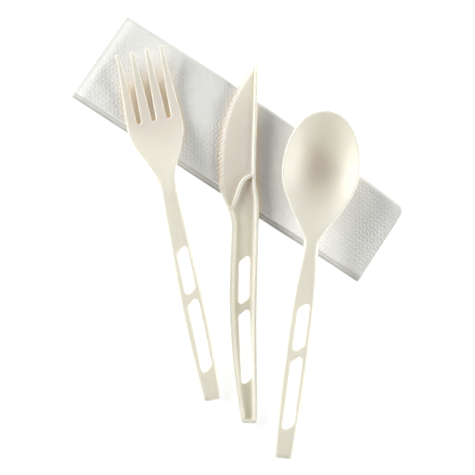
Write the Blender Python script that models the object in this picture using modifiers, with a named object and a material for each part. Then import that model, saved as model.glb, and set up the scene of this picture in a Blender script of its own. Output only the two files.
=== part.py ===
"""Plastic cutlery pack: a fork, a knife and a spoon lying on a folded paper napkin.

Each piece of cutlery is one moulding: a channel-shaped handle with two windows, which runs
into a head, a blade or a bowl. The napkin is one sheet, folded in eighths. Sizes are in
metres. Each piece of cutlery has a frame of its own: Y runs from the end of its handle to
its tip, X is to the right and Z is up.
"""

import math

import bmesh
import bpy
import numpy as np
from mathutils import Matrix, Vector
from mathutils.bvhtree import BVHTree

MM = 0.001
MERGE = 0.00001

# Cutlery: what the three mouldings share
WALL = 1.3 * MM
CHANNEL_DEPTH = 3.2 * MM
SHOULDER_RADIUS = 1.7 * MM
WALL_SLOPE = math.radians(10.0)
HANDLE_END_WIDTH = 8.8 * MM
END_CORNER = 1.4 * MM
REST_GAP = 0.3 * MM
CUTTER_REACH = 40.0 * MM
CUTTER_OVERRUN = 5.0 * MM
PROBE_STEP = 0.5 * MM

# Windows: slanted slots through the web of the handle
WINDOW_WIDTH = 4.8 * MM
WINDOW_SLANT = 3.0 * MM
WINDOW_CORNER = 1.2 * MM
WINDOW_SHIFT = 0.3 * MM
WINDOW_SHORT = 20.2 * MM
WINDOW_LONG = 31.2 * MM
WINDOW_BAR = 2.4 * MM
WINDOW_FROM_END = 12.6 * MM

# Fork
FORK_GRIP_WIDTH = 11.0 * MM
FORK_GRIP_AT = 40.0 * MM
FORK_HANDLE_LENGTH = 101.0 * MM
FORK_NECK_WIDTH = 8.1 * MM
FORK_HEAD_WIDTH = 25.0 * MM
FORK_OPENS_BEFORE = 17.5 * MM
FORK_OPENS_AFTER = 10.0 * MM
FORK_SHOULDER_LENGTH = 25.0 * MM
FORK_TINE_REACH = 35.0 * MM
FORK_TIP_SPREAD = 21.8 * MM
FORK_ARCH_HEIGHT = 11.5 * MM
FORK_ARCH_AT = 95.0 * MM
FORK_HEEL_AT = 131.0 * MM
FORK_TIP_LIFT = 6.0 * MM
FORK_DISH = 0.8 * MM
TINE_COUNT = 4
TINE_SLOT_PITCH = 6.8 * MM
TINE_SLOT_WIDTH = 2.0 * MM
TINE_TIP_WIDTH = 1.7 * MM
TINE_LENGTH = 32.7 * MM

# Spoon
SPOON_GRIP_WIDTH = 10.9 * MM
SPOON_GRIP_AT = 42.0 * MM
SPOON_HANDLE_LENGTH = 98.5 * MM
SPOON_NECK_WIDTH = 7.0 * MM
SPOON_OPENS_BEFORE = 13.0 * MM
SPOON_OPENS_AFTER = 9.75 * MM
BOWL_WIDTH = 33.6 * MM
BOWL_BACK_LENGTH = 32.5 * MM
BOWL_FRONT_LENGTH = 26.4 * MM
BOWL_DEPTH = 7.8 * MM
BOWL_TIP_LIFT = 0.6 * MM
BOWL_RUN_IN = 4.0 * MM
BOWL_RUN_LENGTH = 16.25 * MM
SPOON_ARCH_HEIGHT = 12.0 * MM
SPOON_ARCH_AT = 93.0 * MM
BOWL_FULLNESS = 2.15
BOWL_TOE_SHARE = 0.62

# Knife: X is measured from the line that its spine is drawn on
KNIFE_GRIP_LEFT = 9.3 * MM
KNIFE_GRIP_RIGHT = 3.0 * MM
KNIFE_GRIP_AT = 60.0 * MM
KNIFE_SLIM_AT = 45.0 * MM
KNIFE_END_LEFT = 4.0 * MM
KNIFE_END_RIGHT = 3.4 * MM
KNIFE_HANDLE_LENGTH = 89.0 * MM
KNIFE_WAIST_LEFT = 8.5 * MM
KNIFE_WAIST_RIGHT = 4.1 * MM
KNIFE_WINDOW_FROM_END = 17.0 * MM
BLADE_OPENS_AFTER = 6.65 * MM
SPINE_NARROWS_FROM = 9.5 * MM
SPINE_NARROWS_OVER = 11.4 * MM
BLADE_HEEL_LENGTH = 19.0 * MM
BLADE_FLAT_LENGTH = 8.0 * MM
BLADE_CURVE_LENGTH = 45.5 * MM
BLADE_LEFT = 14.1 * MM
BLADE_HEEL_LEFT = 13.9 * MM
BLADE_SPINE = 2.7 * MM
BLADE_POINT_LEFT = -1.8 * MM
BLADE_POINT_RIGHT = 3.7 * MM
BLADE_POINT_LENGTH = 0.4 * MM
BLADE_POINT_ROUNDING = 0.5 * MM
RIM_WIDTH = 1.6 * MM
RIM_FOOT_RUN = 1.2 * MM
SPINE_TIP_HEIGHT = 1.9 * MM
TOOTH_PITCH = 2.0 * MM
TOOTH_DEPTH = 0.55 * MM
TEETH_FROM_POINT = 1.2 * MM
EDGE_BAND = 2.2 * MM
EDGE_THICKNESS = 0.45 * MM
EDGE_ROUNDING = 0.15 * MM
OUTER_ROUNDING = 0.9 * MM
OUTER_DRAFT = 0.1 * MM
GUARD_RIB_WIDTH = 1.7 * MM
GUARD_RIB_STEP = 0.2 * MM
GUARD_RIB_FOOT = 0.5 * MM
GUARD_RIB_PAST_HEEL = 3.6 * MM
GUARD_RIB_LENGTH = 15.8 * MM
GUARD_RIB_SPINE_ARM = (-8.7 * MM, -1.0 * MM)
GUARD_RIB_RIM_ARM = (5.5 * MM, 6.7 * MM)

# Napkin: one sheet, halved along its length and folded in eighths across
SHEET_LENGTH = 304.0 * MM
SHEET_WIDTH = 331.2 * MM
LEAF_THICKNESS = 0.34 * MM
LEAF_PITCH = 0.46 * MM
TOP_PANEL_STEP = 2.5 * MM
SECOND_FOLD_STEP = 1.1 * MM
FREE_EDGE_STEP = 0.4 * MM
FOLD_BOW = 0.6 * MM
FOLD_SKEW = 4.6 * MM
FOLD_CORNER = 2.4 * MM

# Places on the floor, and turns about the vertical
FORK_END = (-11.3 * MM, -73.6 * MM)
FORK_TURN = math.radians(11.9)
KNIFE_END = (5.3 * MM, -83.7 * MM)
KNIFE_TURN = 0.0
SPOON_END = (20.1 * MM, -99.8 * MM)
SPOON_TURN = math.radians(-7.45)
NAPKIN_CORNER = (-73.8 * MM, 62.4 * MM)
NAPKIN_TURN = math.radians(-32.9)

# How finely the formed surfaces are divided
HANDLE_ROWS = 14
NECK_ROWS = 9
HEAD_ROWS = 14
COLUMNS = 6
ARC_STEPS = 5


def ease_in(t, power):
    """Leave level, then steepen."""
    return t ** power


def ease_out(t, power):
    """Arrive level."""
    return 1.0 - (1.0 - t) ** power


def ease_both(t, power):
    """Leave and arrive level."""
    t = t ** power
    return t * t * (3.0 - 2.0 * t)


def eased_line(start, spans):
    """A curve through level turning points, as a function of the distance along it.

    Each span is its length, the value at its end, how it eases and the power of the ease.
    """

    def value(distance):
        level = start
        for length, end, ease, power in spans:
            if distance <= length:
                share = max(distance, 0.0) / length
                return level + (end - level) * ease(share, power)
            distance -= length
            level = end
        return level

    return value


def spread(first, last, count):
    """Evenly spaced stations after first, up to last."""
    return [first + (last - first) * (i + 1) / count for i in range(count)]


def new_collection(name):
    """A collection in the scene."""
    collection = bpy.data.collections.new(name)
    bpy.context.scene.collection.children.link(collection)
    return collection


def new_material(name, colour, roughness):
    """A plain Principled material."""
    material = bpy.data.materials.new(name)
    material.use_nodes = True
    shader = material.node_tree.nodes["Principled BSDF"]
    shader.inputs["Base Color"].default_value = (*colour, 1.0)
    shader.inputs["Roughness"].default_value = roughness
    shader.inputs["Metallic"].default_value = 0.0
    return material


def new_object(name, mesh, collection, frame, material=None):
    """An object in a frame of its own."""
    obj = bpy.data.objects.new(name, mesh)
    collection.objects.link(obj)
    obj.parent = frame
    if material:
        mesh.materials.append(material)
    return obj


def new_frame(name, collection, parent=None):
    """An empty that carries a piece and its cutters."""
    frame = bpy.data.objects.new(name, None)
    frame.empty_display_size = 0.02
    collection.objects.link(frame)
    frame.parent = parent
    return frame


def mapped_grid(name, row_count, column_count, place):
    """A grid whose point in row i and column j is moved to place(i, j)."""
    bm = bmesh.new()
    bmesh.ops.create_grid(bm, x_segments=column_count - 1, y_segments=row_count - 1, size=0.5)
    for vert in bm.verts:
        column = round((vert.co.x + 0.5) * (column_count - 1))
        row = round((vert.co.y + 0.5) * (row_count - 1))
        vert.co = place(row, column)
    return bm


def mesh_from(bm, name):
    """The bmesh as a mesh."""
    mesh = bpy.data.meshes.new(name)
    bm.to_mesh(mesh)
    bm.free()
    return mesh


def rounded_outline(corners, radius):
    """The corners of an outline, each replaced by an arc of the radius."""
    outline = []
    count = len(corners)
    for i, corner in enumerate(corners):
        here = Vector(corner)
        back = (Vector(corners[i - 1]) - here).normalized()
        ahead = (Vector(corners[(i + 1) % count]) - here).normalized()
        half = back.angle(ahead) / 2.0
        centre = here + (back + ahead).normalized() * radius / math.sin(half)
        first = here + back * radius / math.tan(half) - centre
        last = here + ahead * radius / math.tan(half) - centre
        for step in range(ARC_STEPS + 1):
            arm = first.lerp(last, step / ARC_STEPS).normalized() * radius
            outline.append(centre + arm)
    return outline


def cutter_from_outline(name, outline, depth, collection, frame):
    """A prism on a flat outline, as deep below the frame's floor as it is above."""
    curve = bpy.data.curves.new(name, "CURVE")
    curve.dimensions = "2D"
    curve.fill_mode = "BOTH"
    curve.extrude = depth
    spline = curve.splines.new("POLY")
    spline.points.add(len(outline) - 1)
    for point, place in zip(spline.points, outline):
        point.co = (place[0], place[1], 0.0, 1.0)
    spline.use_cyclic_u = True
    source = bpy.data.objects.new(name + "_outline", curve)
    collection.objects.link(source)
    graph = bpy.context.evaluated_depsgraph_get()
    mesh = bpy.data.meshes.new_from_object(source.evaluated_get(graph))
    bm = bmesh.new()
    bm.from_mesh(mesh)
    bmesh.ops.remove_doubles(bm, verts=bm.verts, dist=MERGE)
    bmesh.ops.recalc_face_normals(bm, faces=bm.faces)
    bm.to_mesh(mesh)
    bm.free()
    bpy.data.objects.remove(source)
    cutter = new_object(name, mesh, collection, frame)
    cutter.hide_render = True
    cutter.display_type = "WIRE"
    return cutter


def boolean(obj, cutter, operation):
    """Cut or join one object with another."""
    modifier = obj.modifiers.new(cutter.name, "BOOLEAN")
    modifier.operation = operation
    modifier.solver = "EXACT"
    modifier.object = cutter


def window_outline(bottom, length, centre_line):
    """A slot along the handle with parallel ends that slant up to the right."""
    left = -WINDOW_WIDTH / 2.0
    right = WINDOW_WIDTH / 2.0
    low = centre_line(bottom)
    high = centre_line(bottom + length)
    corners = (
        (low + left, bottom),
        (low + right, bottom + WINDOW_SLANT),
        (high + right, bottom + WINDOW_SLANT + length),
        (high + left, bottom + length),
    )
    return rounded_outline(corners, WINDOW_CORNER)


def cut_windows(piece, from_end, centre_line, cutters, frame):
    """The long window nearer the end of the handle, and the short one past the bar."""
    second = from_end + WINDOW_LONG + WINDOW_BAR + WINDOW_SLANT * 0.5
    for label, bottom, length in (("long", from_end, WINDOW_LONG), ("short", second, WINDOW_SHORT)):
        outline = window_outline(bottom, length, centre_line)
        name = piece.name + "_window_" + label
        cutter = cutter_from_outline(name, outline, CUTTER_REACH, cutters, frame)
        boolean(piece, cutter, "DIFFERENCE")


def channel_edge():
    """The turned-down edge of a handle, from its lip to the flat: inset and drop."""
    wall_run = (CHANNEL_DEPTH - SHOULDER_RADIUS) * math.tan(WALL_SLOPE)
    points = [(0.0, CHANNEL_DEPTH)]
    for step in range(4):
        angle = math.radians(30.0) * step
        inset = wall_run + SHOULDER_RADIUS * (1.0 - math.cos(angle))
        points.append((inset, SHOULDER_RADIUS * (1.0 - math.sin(angle))))
    return points


def handle_point(column, station, half_width, top, edge):
    """A point of the channel section of a handle, from its middle out to its lip."""
    end_drop = float(np.interp(station, [p[0] for p in edge], [p[1] for p in edge]))
    corner = max(0.0, END_CORNER - station)
    side = half_width - (END_CORNER - math.sqrt(END_CORNER ** 2 - corner ** 2))
    flat = side - edge[-1][0]
    if column < 2:
        return Vector((flat * column / 2.0, station, top - end_drop))
    inset, drop = edge[COLUMNS - column]
    return Vector((side - inset, station, top - max(drop, end_drop)))


def shell(name, bm, collection, frame, material):
    """Mirror a half surface and give it its wall, which grows below it."""
    bmesh.ops.recalc_face_normals(bm, faces=bm.faces)
    upward = sum(face.normal.z * face.calc_area() for face in bm.faces)
    if upward < 0.0:
        bmesh.ops.reverse_faces(bm, faces=bm.faces)
    obj = new_object(name, mesh_from(bm, name), collection, frame, material)
    obj.data.shade_smooth()
    mirror = obj.modifiers.new("Mirror", "MIRROR")
    mirror.merge_threshold = MERGE
    solidify = obj.modifiers.new("Wall", "SOLIDIFY")
    solidify.thickness = WALL
    solidify.offset = -1.0
    solidify.use_even_offset = True
    return obj


def handle_rows(edge, handle_length, neck_start):
    """Stations along a handle: the turned-down end, then even steps to the neck."""
    rows = [point[0] for point in edge]
    rows += spread(rows[-1], neck_start, HANDLE_ROWS)
    rows += spread(neck_start, handle_length, NECK_ROWS)
    return rows


def make_fork(collection, cutters, frame, material):
    """Fork: four tines in a shallow head that runs into an arched channel handle."""
    edge = channel_edge()
    head_at = FORK_HANDLE_LENGTH + FORK_SHOULDER_LENGTH
    length = head_at + FORK_TINE_REACH
    tip_radius = TINE_TIP_WIDTH / 2.0
    half_width = eased_line(
        HANDLE_END_WIDTH / 2.0,
        (
            (FORK_GRIP_AT, FORK_GRIP_WIDTH / 2.0, ease_both, 0.7),
            (FORK_HANDLE_LENGTH - FORK_GRIP_AT, FORK_NECK_WIDTH / 2.0, ease_both, 1.0),
            (FORK_SHOULDER_LENGTH, FORK_HEAD_WIDTH / 2.0, ease_both, 0.95),
            (FORK_TINE_REACH, FORK_TIP_SPREAD / 2.0, ease_both, 0.9),
        ),
    )
    top = eased_line(
        CHANNEL_DEPTH,
        (
            (FORK_ARCH_AT, FORK_ARCH_HEIGHT, ease_out, 1.8),
            (FORK_HEEL_AT - FORK_ARCH_AT, WALL, ease_both, 1.0),
            (length - FORK_HEEL_AT, WALL + FORK_TIP_LIFT, ease_in, 2.0),
        ),
    )
    neck_start = FORK_HANDLE_LENGTH - FORK_OPENS_BEFORE
    neck_end = FORK_HANDLE_LENGTH + FORK_OPENS_AFTER
    rows = handle_rows(edge, FORK_HANDLE_LENGTH, neck_start)
    rows += spread(FORK_HANDLE_LENGTH, length - tip_radius, HEAD_ROWS)
    rows += [length - tip_radius * (1.0 - math.sin(math.radians(a))) for a in (30.0, 60.0, 90.0)]

    def place(row, column):
        station = rows[row]
        turned = handle_point(column, station, half_width(station), top(station), edge)
        blend = np.clip((station - neck_start) / (neck_end - neck_start), 0.0, 1.0)
        side = half_width(station)
        past = max(0.0, station - (length - tip_radius))
        side -= tip_radius - math.sqrt(max(0.0, tip_radius ** 2 - past ** 2))
        across = side * column / COLUMNS
        dish = FORK_DISH * (across / side) ** 2
        fade = np.clip((length - station) / FORK_TINE_REACH, 0.0, 1.0)
        flat = Vector((across, station, top(station) + dish * ease_both(fade, 1.0)))
        return turned.lerp(flat, ease_both(blend, 1.0))

    bm = mapped_grid("fork", len(rows), COLUMNS + 1, place)
    fork = shell("fork", bm, collection, frame, material)
    for number in range(TINE_COUNT - 1):
        shift = number - (TINE_COUNT - 2) / 2.0
        outline = tine_slot_outline(shift, length)
        name = "fork_slot_" + str(number + 1)
        cutter = cutter_from_outline(name, outline, CUTTER_REACH, cutters, frame)
        boolean(fork, cutter, "DIFFERENCE")
    cut_windows(fork, WINDOW_FROM_END, lambda station: WINDOW_SHIFT, cutters, frame)
    return fork


def tine_slot_outline(shift, length):
    """A slot between two tines, with a round root and a mouth that rounds their tips."""
    root_radius = TINE_SLOT_WIDTH / 2.0
    tip_radius = TINE_TIP_WIDTH / 2.0
    tip_pitch = (FORK_TIP_SPREAD - TINE_TIP_WIDTH) / (TINE_COUNT - 1)
    mouth = tip_pitch / 2.0 - tip_radius
    root_x = shift * TINE_SLOT_PITCH
    tip_x = shift * tip_pitch
    root_y = length - TINE_LENGTH + root_radius
    outline = []
    for step in range(ARC_STEPS + 1):
        angle = math.pi * (1.0 + step / ARC_STEPS)
        outline.append((root_x + root_radius * math.cos(angle), root_y + root_radius * math.sin(angle)))
    corner_y = length - tip_radius
    flare = []
    for step in range(ARC_STEPS):
        angle = math.radians(88.0) * step / (ARC_STEPS - 1)
        reach = mouth + tip_radius * (1.0 - math.cos(angle))
        flare.append((reach, corner_y + tip_radius * math.sin(angle)))
    flare.append((flare[-1][0], length + CUTTER_OVERRUN))
    outline += [(tip_x + reach, y) for reach, y in flare]
    outline += [(tip_x - reach, y) for reach, y in reversed(flare)]
    return outline


def make_spoon(collection, cutters, frame, material):
    """Spoon: an egg-shaped bowl on the same channel handle."""
    edge = channel_edge()
    widest = SPOON_HANDLE_LENGTH + BOWL_BACK_LENGTH
    length = widest + BOWL_FRONT_LENGTH
    half_bowl = BOWL_WIDTH / 2.0
    half_width = eased_line(
        HANDLE_END_WIDTH / 2.0,
        (
            (SPOON_GRIP_AT, SPOON_GRIP_WIDTH / 2.0, ease_both, 0.7),
            (SPOON_HANDLE_LENGTH - SPOON_GRIP_AT, SPOON_NECK_WIDTH / 2.0, ease_both, 2.3),
            (BOWL_BACK_LENGTH, half_bowl, ease_both, 0.8),
        ),
    )
    rim = eased_line(
        CHANNEL_DEPTH,
        (
            (SPOON_ARCH_AT, SPOON_ARCH_HEIGHT, ease_out, 1.8),
            (widest - SPOON_ARCH_AT, WALL + BOWL_DEPTH, ease_both, 1.0),
            (BOWL_FRONT_LENGTH, WALL + BOWL_DEPTH + BOWL_TIP_LIFT, ease_in, 2.0),
        ),
    )
    neck_start = SPOON_HANDLE_LENGTH - SPOON_OPENS_BEFORE
    neck_end = SPOON_HANDLE_LENGTH + SPOON_OPENS_AFTER
    rows = handle_rows(edge, SPOON_HANDLE_LENGTH, neck_start)
    rows += spread(SPOON_HANDLE_LENGTH, widest, HEAD_ROWS // 2)
    front_rows = HEAD_ROWS // 2

    def outline_width(station):
        if station <= widest:
            return half_width(station)
        share = min(1.0, (station - widest) / BOWL_FRONT_LENGTH)
        return half_bowl * (1.0 - share ** BOWL_FULLNESS) ** (1.0 / BOWL_FULLNESS)

    def front_station(across):
        share = min(1.0, across / half_bowl)
        return widest + BOWL_FRONT_LENGTH * (1.0 - share ** BOWL_FULLNESS) ** (1.0 / BOWL_FULLNESS)

    def bowl_height(across, station):
        hollow = (outline_width(station) ** 2 - across ** 2) / half_bowl ** 2
        start = SPOON_HANDLE_LENGTH - BOWL_RUN_IN
        share = np.clip((station - start) / BOWL_RUN_LENGTH, 0.0, 1.0)
        return rim(station) - BOWL_DEPTH * ease_both(share, 1.0) * max(hollow, 0.0)

    def place(row, column):
        if row >= len(rows):
            along = (row - len(rows) + 1) / front_rows
            corner = half_bowl * BOWL_TOE_SHARE
            side_station = widest + (front_station(corner) - widest) * along
            across = outline_width(side_station) * column / COLUMNS
            reach = front_station(corner * column / COLUMNS)
            station = widest + (reach - widest) * along
            return Vector((across, station, bowl_height(across, station)))
        station = rows[row]
        turned = handle_point(column, station, half_width(station), rim(station), edge)
        across = half_width(station) * column / COLUMNS
        formed = Vector((across, station, bowl_height(across, station)))
        blend = np.clip((station - neck_start) / (neck_end - neck_start), 0.0, 1.0)
        return turned.lerp(formed, ease_both(blend, 1.0))

    bm = mapped_grid("spoon", len(rows) + front_rows, COLUMNS + 1, place)
    spoon = shell("spoon", bm, collection, frame, material)
    cut_windows(spoon, WINDOW_FROM_END, lambda station: WINDOW_SHIFT, cutters, frame)
    return spoon


def knife_sides():
    """How far the knife reaches to the left and to the right, along its length."""
    left = eased_line(
        KNIFE_END_LEFT,
        (
            (KNIFE_GRIP_AT, KNIFE_GRIP_LEFT, ease_out, 2.0),
            (KNIFE_HANDLE_LENGTH - KNIFE_GRIP_AT, KNIFE_WAIST_LEFT, ease_both, 1.0),
            (BLADE_HEEL_LENGTH, BLADE_HEEL_LEFT, ease_both, 1.1),
            (BLADE_FLAT_LENGTH, BLADE_LEFT, ease_both, 1.0),
            (BLADE_CURVE_LENGTH, BLADE_POINT_LEFT, ease_in, 2.35),
        ),
    )
    widest_at = KNIFE_HANDLE_LENGTH + SPINE_NARROWS_FROM
    blade = BLADE_HEEL_LENGTH + BLADE_FLAT_LENGTH + BLADE_CURVE_LENGTH - SPINE_NARROWS_FROM
    right = eased_line(
        KNIFE_END_RIGHT,
        (
            (KNIFE_SLIM_AT, KNIFE_GRIP_RIGHT, ease_both, 1.0),
            (widest_at - KNIFE_SLIM_AT, KNIFE_WAIST_RIGHT, ease_both, 1.0),
            (SPINE_NARROWS_OVER, BLADE_SPINE, ease_both, 1.0),
            (blade - SPINE_NARROWS_OVER, BLADE_POINT_RIGHT, ease_both, 1.0),
        ),
    )
    return left, right


def tooth_stations(left, first, last):
    """Stations of the teeth's points and gullets, evenly spaced along the curved edge."""
    samples = np.linspace(first, last, 400)
    sides = np.array([left(station) for station in samples])
    steps = np.hypot(np.diff(samples), np.diff(sides))
    travelled = np.concatenate(([0.0], np.cumsum(steps)))
    count = 2 * int(travelled[-1] / TOOTH_PITCH)
    marks = np.linspace(0.0, travelled[-1], count + 1)
    return list(np.interp(marks, travelled, samples))


def make_knife(collection, cutters, frame, material):
    """Knife: the channel of its handle opens upwards, and a rib guards the blade's heel."""
    left, right = knife_sides()
    heel = KNIFE_HANDLE_LENGTH + BLADE_HEEL_LENGTH
    length = heel + BLADE_FLAT_LENGTH + BLADE_CURVE_LENGTH
    rim_end = KNIFE_HANDLE_LENGTH + BLADE_OPENS_AFTER
    foot = RIM_WIDTH + RIM_FOOT_RUN
    end_rows = [0.0, END_CORNER * 0.3, RIM_WIDTH, foot]
    plain_rows = end_rows + spread(foot, rim_end, HANDLE_ROWS)
    plain_rows += spread(rim_end, heel, NECK_ROWS // 2)
    teeth = tooth_stations(left, heel, length - TEETH_FROM_POINT)[1:]
    tip_rows = [length - BLADE_POINT_LENGTH, length]
    rows = plain_rows + teeth + tip_rows

    def section(row):
        station = rows[row]
        corner = max(0.0, END_CORNER - station)
        inset = END_CORNER - math.sqrt(END_CORNER ** 2 - corner ** 2)
        inset += BLADE_POINT_ROUNDING * max(0.0, (station - tip_rows[0]) / BLADE_POINT_LENGTH)
        tooth = row - len(plain_rows)
        gullet = TOOTH_DEPTH if 0 <= tooth < len(teeth) and tooth % 2 == 0 else 0.0
        outer_left = -left(station) + inset + gullet
        outer_right = right(station) - inset
        blade = ease_both(np.clip((station - rim_end) / (heel - rim_end), 0.0, 1.0), 1.0)
        along = np.clip((station - heel) / (length - heel), 0.0, 1.0)
        width = outer_right - outer_left
        rim_left = CHANNEL_DEPTH + (EDGE_THICKNESS - CHANNEL_DEPTH) * blade
        rim_right = CHANNEL_DEPTH + (SPINE_TIP_HEIGHT - CHANNEL_DEPTH) * along
        lip_left = min(RIM_WIDTH + (EDGE_BAND * 0.45 - RIM_WIDTH) * blade - gullet * 0.5, width * 0.2)
        foot_left = min(foot + (EDGE_BAND - foot) * blade - gullet * 0.8, width * 0.35)
        lip_right = min(RIM_WIDTH, width * 0.3)
        foot_right = min(RIM_WIDTH + RIM_FOOT_RUN * (1.0 - blade * 0.6), width * 0.45)
        floor = CHANNEL_DEPTH if station <= RIM_WIDTH else WALL
        shoulder = rim_left + (EDGE_THICKNESS + (WALL - EDGE_THICKNESS) * 0.4 - rim_left) * blade
        floor_left = outer_left + foot_left
        floor_right = outer_right - foot_right
        under_left = min(OUTER_ROUNDING, width * 0.2)
        outer_height = OUTER_ROUNDING + (EDGE_ROUNDING - OUTER_ROUNDING) * blade
        return (
            (outer_left, rim_left),
            (outer_left + lip_left, shoulder),
            (floor_left, floor),
            ((floor_left + floor_right) / 2.0, floor),
            (floor_right, floor),
            (outer_right - lip_right, rim_right),
            (outer_right, rim_right),
            (outer_right - OUTER_DRAFT, OUTER_ROUNDING),
            (outer_right - under_left, 0.0),
            ((floor_left + floor_right) / 2.0, 0.0),
            (outer_left + under_left * (1.0 + blade), 0.0),
            (outer_left + OUTER_DRAFT * (1.0 - blade), outer_height),
        )

    sections = [section(row) for row in range(len(rows))]
    around = len(sections[0])

    def place(row, column):
        across, height = sections[row][column % around]
        return Vector((across, rows[row], height))

    bm = mapped_grid("knife", len(rows), around + 1, place)
    bmesh.ops.remove_doubles(bm, verts=bm.verts, dist=MERGE)
    bmesh.ops.holes_fill(bm, edges=bm.edges, sides=0)
    bmesh.ops.recalc_face_normals(bm, faces=bm.faces)
    knife = new_object("knife", mesh_from(bm, "knife"), collection, frame, material)
    rib = make_guard_rib(left, right, cutters, frame)
    boolean(knife, rib, "UNION")

    def centre_line(station):
        return (right(station) - left(station)) / 2.0 + WINDOW_SHIFT

    cut_windows(knife, KNIFE_WINDOW_FROM_END, centre_line, cutters, frame)
    return knife


def make_guard_rib(left, right, cutters, frame):
    """The curved rib from the spine to the other rim: a wall raised on an S-shaped line."""
    start_y = KNIFE_HANDLE_LENGTH + BLADE_HEEL_LENGTH + GUARD_RIB_PAST_HEEL
    end_y = start_y - GUARD_RIB_LENGTH
    start = Vector((right(start_y) - RIM_WIDTH * 0.5, start_y, 0.0))
    end = Vector((RIM_WIDTH * 0.5 - left(end_y), end_y, 0.0))
    height = CHANNEL_DEPTH - GUARD_RIB_STEP
    curve = bpy.data.curves.new("guard_rib", "CURVE")
    curve.dimensions = "3D"
    curve.extrude = (height - GUARD_RIB_FOOT) / 2.0
    curve.resolution_u = 14
    spline = curve.splines.new("BEZIER")
    spline.bezier_points.add(1)
    for point, place, arm in (
        (spline.bezier_points[0], start, Vector((*GUARD_RIB_SPINE_ARM, 0.0))),
        (spline.bezier_points[1], end, Vector((*GUARD_RIB_RIM_ARM, 0.0))),
    ):
        point.co = place
        point.handle_left_type = "FREE"
        point.handle_right_type = "FREE"
        point.handle_left = place + arm
        point.handle_right = place + arm
    source = bpy.data.objects.new("guard_rib_line", curve)
    cutters.objects.link(source)
    graph = bpy.context.evaluated_depsgraph_get()
    mesh = bpy.data.meshes.new_from_object(source.evaluated_get(graph))
    mesh.transform(Matrix.Translation((0.0, 0.0, (height + GUARD_RIB_FOOT) / 2.0)))
    bpy.data.objects.remove(source)
    rib = new_object("guard_rib", mesh, cutters, frame)
    solidify = rib.modifiers.new("Wall", "SOLIDIFY")
    solidify.thickness = GUARD_RIB_WIDTH
    solidify.offset = 0.0
    solidify.use_even_offset = True
    rib.hide_render = True
    rib.display_type = "WIRE"
    return rib


def fold_path():
    """The folded sheet seen from its end: a line of (share of the width, shift, layer).

    Folding a strip in half three times stacks its eight panels in this order from the
    floor up: 1, 8, 5, 4, 3, 6, 7, 2.
    """
    layer_of_panel = (0, 7, 4, 3, 2, 5, 6, 1)
    lower_turns = {(7, 4): TOP_PANEL_STEP, (5, 6): TOP_PANEL_STEP, (3, 2): SECOND_FOLD_STEP}
    reach = LEAF_PITCH * 3.5 + LEAF_THICKNESS / 2.0
    path = [(0.0, 0.0, 0.0)]
    for panel in range(7):
        here = layer_of_panel[panel]
        there = layer_of_panel[panel + 1]
        middle = (here + there) / 2.0
        radius = abs(there - here) / 2.0
        turn_up = 1.0 if there > here else -1.0
        steps = max(3, 2 * math.ceil(radius) + 1)
        upper = panel % 2 == 0
        if upper:
            share = 1.0
            shift = -reach
            side = 1.0
        else:
            share = 0.0
            outer = 1.5 if here in (7, 5) else 0.5
            shift = lower_turns[(here, there)] + LEAF_PITCH * outer + LEAF_THICKNESS / 2.0
            side = -1.0
        for step in range(steps + 1):
            angle = math.pi * (step / steps - 0.5)
            level = middle + turn_up * radius * math.sin(angle)
            path.append((share, shift + side * LEAF_PITCH * radius * math.cos(angle), level))
    path.append((0.0, FREE_EDGE_STEP, 1.0))
    return path


def make_napkin(collection, frame, material):
    """Napkin: the folded section carried along the length, with its fold line as it lies."""
    length = SHEET_LENGTH / 2.0
    width = SHEET_WIDTH / 8.0 + TOP_PANEL_STEP
    path = fold_path()
    rows = [0.0] + spread(0.0, length - FOLD_CORNER, 7)
    rows += [length - FOLD_CORNER * (1.0 - math.sin(math.radians(a))) for a in (30.0, 60.0, 90.0)]

    def fold_line(along):
        share = along / length
        bow = FOLD_BOW * math.sin(math.pi * min(1.0, share * 1.5))
        past = max(0.0, along - (length - FOLD_CORNER))
        corner = FOLD_CORNER - math.sqrt(max(0.0, FOLD_CORNER ** 2 - past ** 2))
        return width + bow - FOLD_SKEW * share ** 2.6 - corner

    def leaf_line(along):
        line = fold_line(along)
        return [
            Vector((share * line + shift, (layer + 0.5) * LEAF_PITCH))
            for share, shift, layer in path
        ]

    def leaf_outline(along):
        line = leaf_line(along)
        sides = ([], [])
        for i, point in enumerate(line):
            back = (point - line[i - 1]).normalized() if i else None
            ahead = (line[i + 1] - point).normalized() if i + 1 < len(line) else None
            tangent = ((back or ahead) + (ahead or back)).normalized()
            normal = Vector((-tangent.y, tangent.x)) * LEAF_THICKNESS / 2.0
            if back and ahead:
                normal /= math.cos(back.angle(ahead) / 2.0)
            sides[0].append(point + normal)
            sides[1].append(point - normal)
        return sides[0] + sides[1][::-1]

    outlines = [leaf_outline(along) for along in rows]
    around = len(outlines[0])
    settle = LEAF_THICKNESS / 2.0 - LEAF_PITCH / 2.0

    def place(row, column):
        point = outlines[row][column % around]
        return Vector((rows[row], point.x, point.y + settle))

    bm = mapped_grid("napkin", len(rows), around + 1, place)
    bmesh.ops.remove_doubles(bm, verts=bm.verts, dist=MERGE)
    bmesh.ops.holes_fill(bm, edges=bm.edges, sides=0)
    bmesh.ops.triangulate(bm, faces=[face for face in bm.faces if len(face.verts) > 4])
    bmesh.ops.recalc_face_normals(bm, faces=bm.faces)
    return new_object("napkin", mesh_from(bm, "napkin"), collection, frame, material)


def world_tree(obj):
    """The finished mesh of an object, in the world, and its corners."""
    graph = bpy.context.evaluated_depsgraph_get()
    evaluated = obj.evaluated_get(graph)
    mesh = evaluated.to_mesh()
    places = [evaluated.matrix_world @ vert.co for vert in mesh.vertices]
    tree = BVHTree.FromPolygons(places, [tuple(face.vertices) for face in mesh.polygons])
    evaluated.to_mesh_clear()
    return tree, places


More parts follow.
